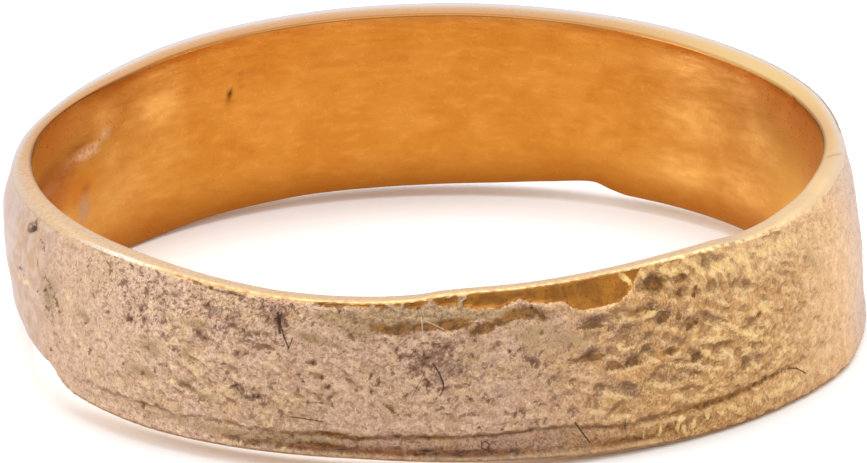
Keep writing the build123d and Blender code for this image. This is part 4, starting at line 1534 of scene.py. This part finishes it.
# Painted highlight along the crest: white at the left end, gold from azimuth -47 on and paler gold at the
# right; at the left end the crest is also polished smoother
crest_polish_and_highlight = between(skin_value("crest"), 0.15, 0.6, 0, 0.8)
crest_gold = skin_value("crest_gold")
crest_highlight_tone = layered(
    tone(246, 234, 214),
    (tone(206, 162, 104), crest_gold),
    (tone(152, 104, 56), times(between(small, 0.56, 0.42, 0, 0.8), crest_gold)),
    (tone(255, 230, 168), times(skin_value("crest_highlight_right"), between(small, 0.40, 0.58, 0.3, 0.95))),
)
skin_colour = layered(
    skin_colour,
    (olive_tone, olive_share),
    (violet_tone, violet_share),
    (brown_tone, brown_share),
    (bare_tone, times(bare_share, 0.95)),
    (tone(104, 78, 64), speck_share),
    (facet_tone, times(skin_value("facet"), 0.85)),
    (crest_highlight_tone, crest_polish_and_highlight),
)

# The rim's flat and the finger hole
# The rim's flat, with a painted highlight on its inner part round azimuth 124 and a painted highlight on its
# outer part towards the back
rim_colour = layered(
    tone(242, 208, 170),
    (tone(232, 192, 146), between(fine, 0.44, 0.58)),
    (tone(250, 214, 162), skin_value("peach")),
    (tone(246, 236, 234), skin_value("rim_back_highlight")),
    (tone(230, 164, 92), times(skin_value("rim_glow"), 0.85)),
    (tone(255, 218, 148), times(skin_value("rim_highlight"), 0.9)),
    (tone(176, 112, 84), times(skin_value("rim_scratch"), 0.6)),
    (crest_highlight_tone, crest_polish_and_highlight),
)
drawn = mottle(0.30, detail=3.0, roughness=0.5, scale=(0.5, 0.5, 1.3), seed=37)
hole_colour = layered(
    tone(200, 132, 52),
    (tone(190, 118, 38), between(broad, 0.40, 0.66, 0, 0.6)),
    (tone(216, 152, 70), between(drawn, 0.50, 0.70, 0, 0.35)),
    (tone(178, 108, 40), between(drawn, 0.44, 0.30, 0, 0.35)),
    (tone(255, 196, 80), times(skin_value("hole_end"), 0.95)),
    # painted sheen
    (tone(252, 194, 108), times(skin_value("hole_sheen"), between(drawn, 0.36, 0.62, 0.65, 1.0))),
    (tone(212, 126, 8), times(skin_value("orange"), 0.85)),
    # darker towards the bottom, and painted shade above the lap and in a few soft places
    (tone(162, 94, 30), times(skin_value("hole_darker_low_and_shade"), 0.65)),
    (tone(190, 152, 116), times(skin_value("lap_grey"), 0.8)),
    # painted highlight along the lap's ridge
    (tone(255, 226, 186), times(skin_value("lap_ridge_highlight"), between(fine, 0.36, 0.56, 0.4, 1.0))),
)

# Spots, the painted shade on the rim's inner corner, and the rubbed places with their painted highlights lie
# over all
spot_depth = skin_value("spot")
hole_spot_tone = over(tone(150, 90, 36), tone(92, 54, 24), between(spot_depth, 0.4, 0.9))
spot_tone = layered(
    tone(138, 104, 82),
    (tone(72, 46, 42), between(spot_depth, 0.45, 0.85)),
    (tone(128, 94, 56), times(gilding, 0.6)),
    (hole_spot_tone, inside_hole),
)
spot_share = ragged(spot_depth, fine, break_up=1.9, edge=0.42, soft=0.12)
spot_share = times(spot_share, between(gilding, 0, 1, 0.9, 0.5))
hole_spot_share = sum_of(metal, "SUBTRACT", between(spot_depth, 0.05, 0.8), spot_share)
spot_share = sum_of(metal, "MULTIPLY_ADD", hole_spot_share, inside_hole, spot_share)
# painted highlights on the rubbed places
shine_value = skin_value("shine")
shine_share = times(ragged(shine_value, small, break_up=1.6, edge=0.42, soft=0.22), 0.55)
colour = layered(
    rim_colour,
    (skin_colour, skin_value("outside")),
    (hole_colour, inside_hole),
    # painted shade on the rim's inner corner
    (tone(140, 88, 40), times(skin_value("inner_corner_shade"), 0.9)),
    (spot_tone, spot_share),
    (tone(244, 210, 146), shine_share),
)

# Fine scratches, as straight strokes on the unrolled wall
hairlines = (
    # azimuth, level, azimuth, level, half width, how dark; pale where negative
    (-20.3, 3.58, -19.0, 3.05, 0.022, 0.9),
    (-19.0, 3.05, -18.5, 3.31, 0.018, 0.8),
    (-20.9, 3.90, -20.3, 3.40, 0.030, 0.9),
    (-18.7, 1.33, -14.5, 1.28, 0.016, 0.8),
    (-17.0, 1.74, -14.6, 1.72, 0.012, 0.5),
    (-1.3, 3.94, -1.1, 3.34, 0.016, -0.6),
    (-0.8, 3.86, 1.6, 3.63, 0.016, -0.6),
    (0.1, 2.77, 0.9, 2.53, 0.022, 0.9),
    (0.9, 2.53, 1.4, 2.27, 0.022, 0.9),
    (1.4, 2.27, 1.3, 2.10, 0.020, 0.9),
    (1.3, 2.10, 0.9, 1.98, 0.016, 0.8),
    (-1.1, 2.53, -2.6, 1.99, 0.012, 0.5),
    (18.6, 1.03, 20.7, 0.46, 0.022, 0.9),
    (5.6, 0.92, 12.6, 0.94, 0.012, 0.6),
    (53.8, 0.93, 55.9, 0.80, 0.024, 0.8),
    (55.9, 0.80, 57.7, 0.58, 0.020, 0.8),
    (6.2, 0.72, 6.7, 0.77, 0.016, 0.8),
    (6.7, 0.77, 7.2, 0.68, 0.016, 0.8),
    (7.2, 0.68, 6.8, 0.54, 0.016, 0.8),
    (6.8, 0.54, 6.2, 0.60, 0.016, 0.8),
    (6.2, 0.60, 6.2, 0.72, 0.016, 0.8),
    (7.0, 0.60, 7.5, 0.42, 0.016, 0.7),
    (25.6, 0.90, 25.8, 0.62, 0.016, 0.5),
    (-31.5, 4.26, -26.0, 4.20, 0.020, 0.6),
)
wall_along = sum_of(metal, "MULTIPLY", skin_value("azimuth"), crown_radius)
wall_up = times(skin_value("level"), 1 / mm)
wall_place = add_node(metal, "ShaderNodeCombineXYZ", {"X": wall_along, "Y": wall_up}).outputs[0]
dark_line, pale_line = tone(70, 50, 42), tone(206, 184, 160)


def measured(operation, *vectors):
    """A number that one Vector Math node works out."""
    return add_node(metal, "ShaderNodeVectorMath", enumerate(vectors), operation=operation).outputs["Value"]


def stroke(here, first_azimuth, first_level, last_azimuth, last_level, half_width):
    """How deep each point lies in a straight stroke on the unrolled wall."""
    first = Vector((math.radians(first_azimuth) * crown_radius, first_level, 0))
    run = Vector((math.radians(last_azimuth) * crown_radius, last_level, 0)) - first
    offset = add_node(metal, "ShaderNodeVectorMath", {0: here, 1: first}, operation="SUBTRACT").outputs[0]
    share = times(measured("DOT_PRODUCT", offset, run), 1 / run.length_squared)
    share = add_node(metal, "ShaderNodeClamp", {"Value": share}).outputs[0]
    nearest = add_node(metal, "ShaderNodeVectorMath", {0: run, "Scale": share}, operation="SCALE").outputs[0]
    return between(measured("DISTANCE", offset, nearest), half_width * 1.5, half_width * 0.4)


for *ends, half_width, darkness in hairlines:
    share = times(stroke(wall_place, *ends, half_width), abs(darkness), skin_value("outside"))
    colour = over(colour, dark_line if darkness > 0 else pale_line, share)

# Roughness and the finest relief
polished_crest = times(crest_polish_and_highlight, sum_of(metal, "SUBTRACT", 1, crest_gold))
roughness = between(inside_hole, 0, 1, 0.36, 0.31)
for value, change in (
    (skin_value("outside"), 0.12),
    (bare_share, -0.03),
    (shine_value, -0.14),
    (polished_crest, -0.16),
    (sum_of(metal, "SUBTRACT", fine, 0.5), 0.25),
):
    roughness = sum_of(metal, "MULTIPLY_ADD", value, change, roughness)
fine_relief = times(sum_of(metal, "ADD", times(fine, 0.9), times(grit, 0.6)), skin_value("grainy"))
brushed = times(mottle(0.12, scale=(0.25, 0.25, 1), seed=29), inside_hole, 0.12)
bumped = add_node(
    metal,
    "ShaderNodeBump",
    {"Height": sum_of(metal, "ADD", fine_relief, brushed), "Distance": 0.05 * mm, "Strength": 1.0},
).outputs[0]
surface = add_node(
    metal,
    "ShaderNodeBsdfPrincipled",
    {
        "Base Color": colour,
        "Roughness": roughness,
        "Metallic": 1.0,
        "Specular Tint": (0.80, 0.79, 0.82, 1),
        "Normal": bumped,
    },
)
add_node(metal, "ShaderNodeOutputMaterial", {"Surface": surface.outputs[0]})

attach(ring_band, "root")
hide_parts("band")
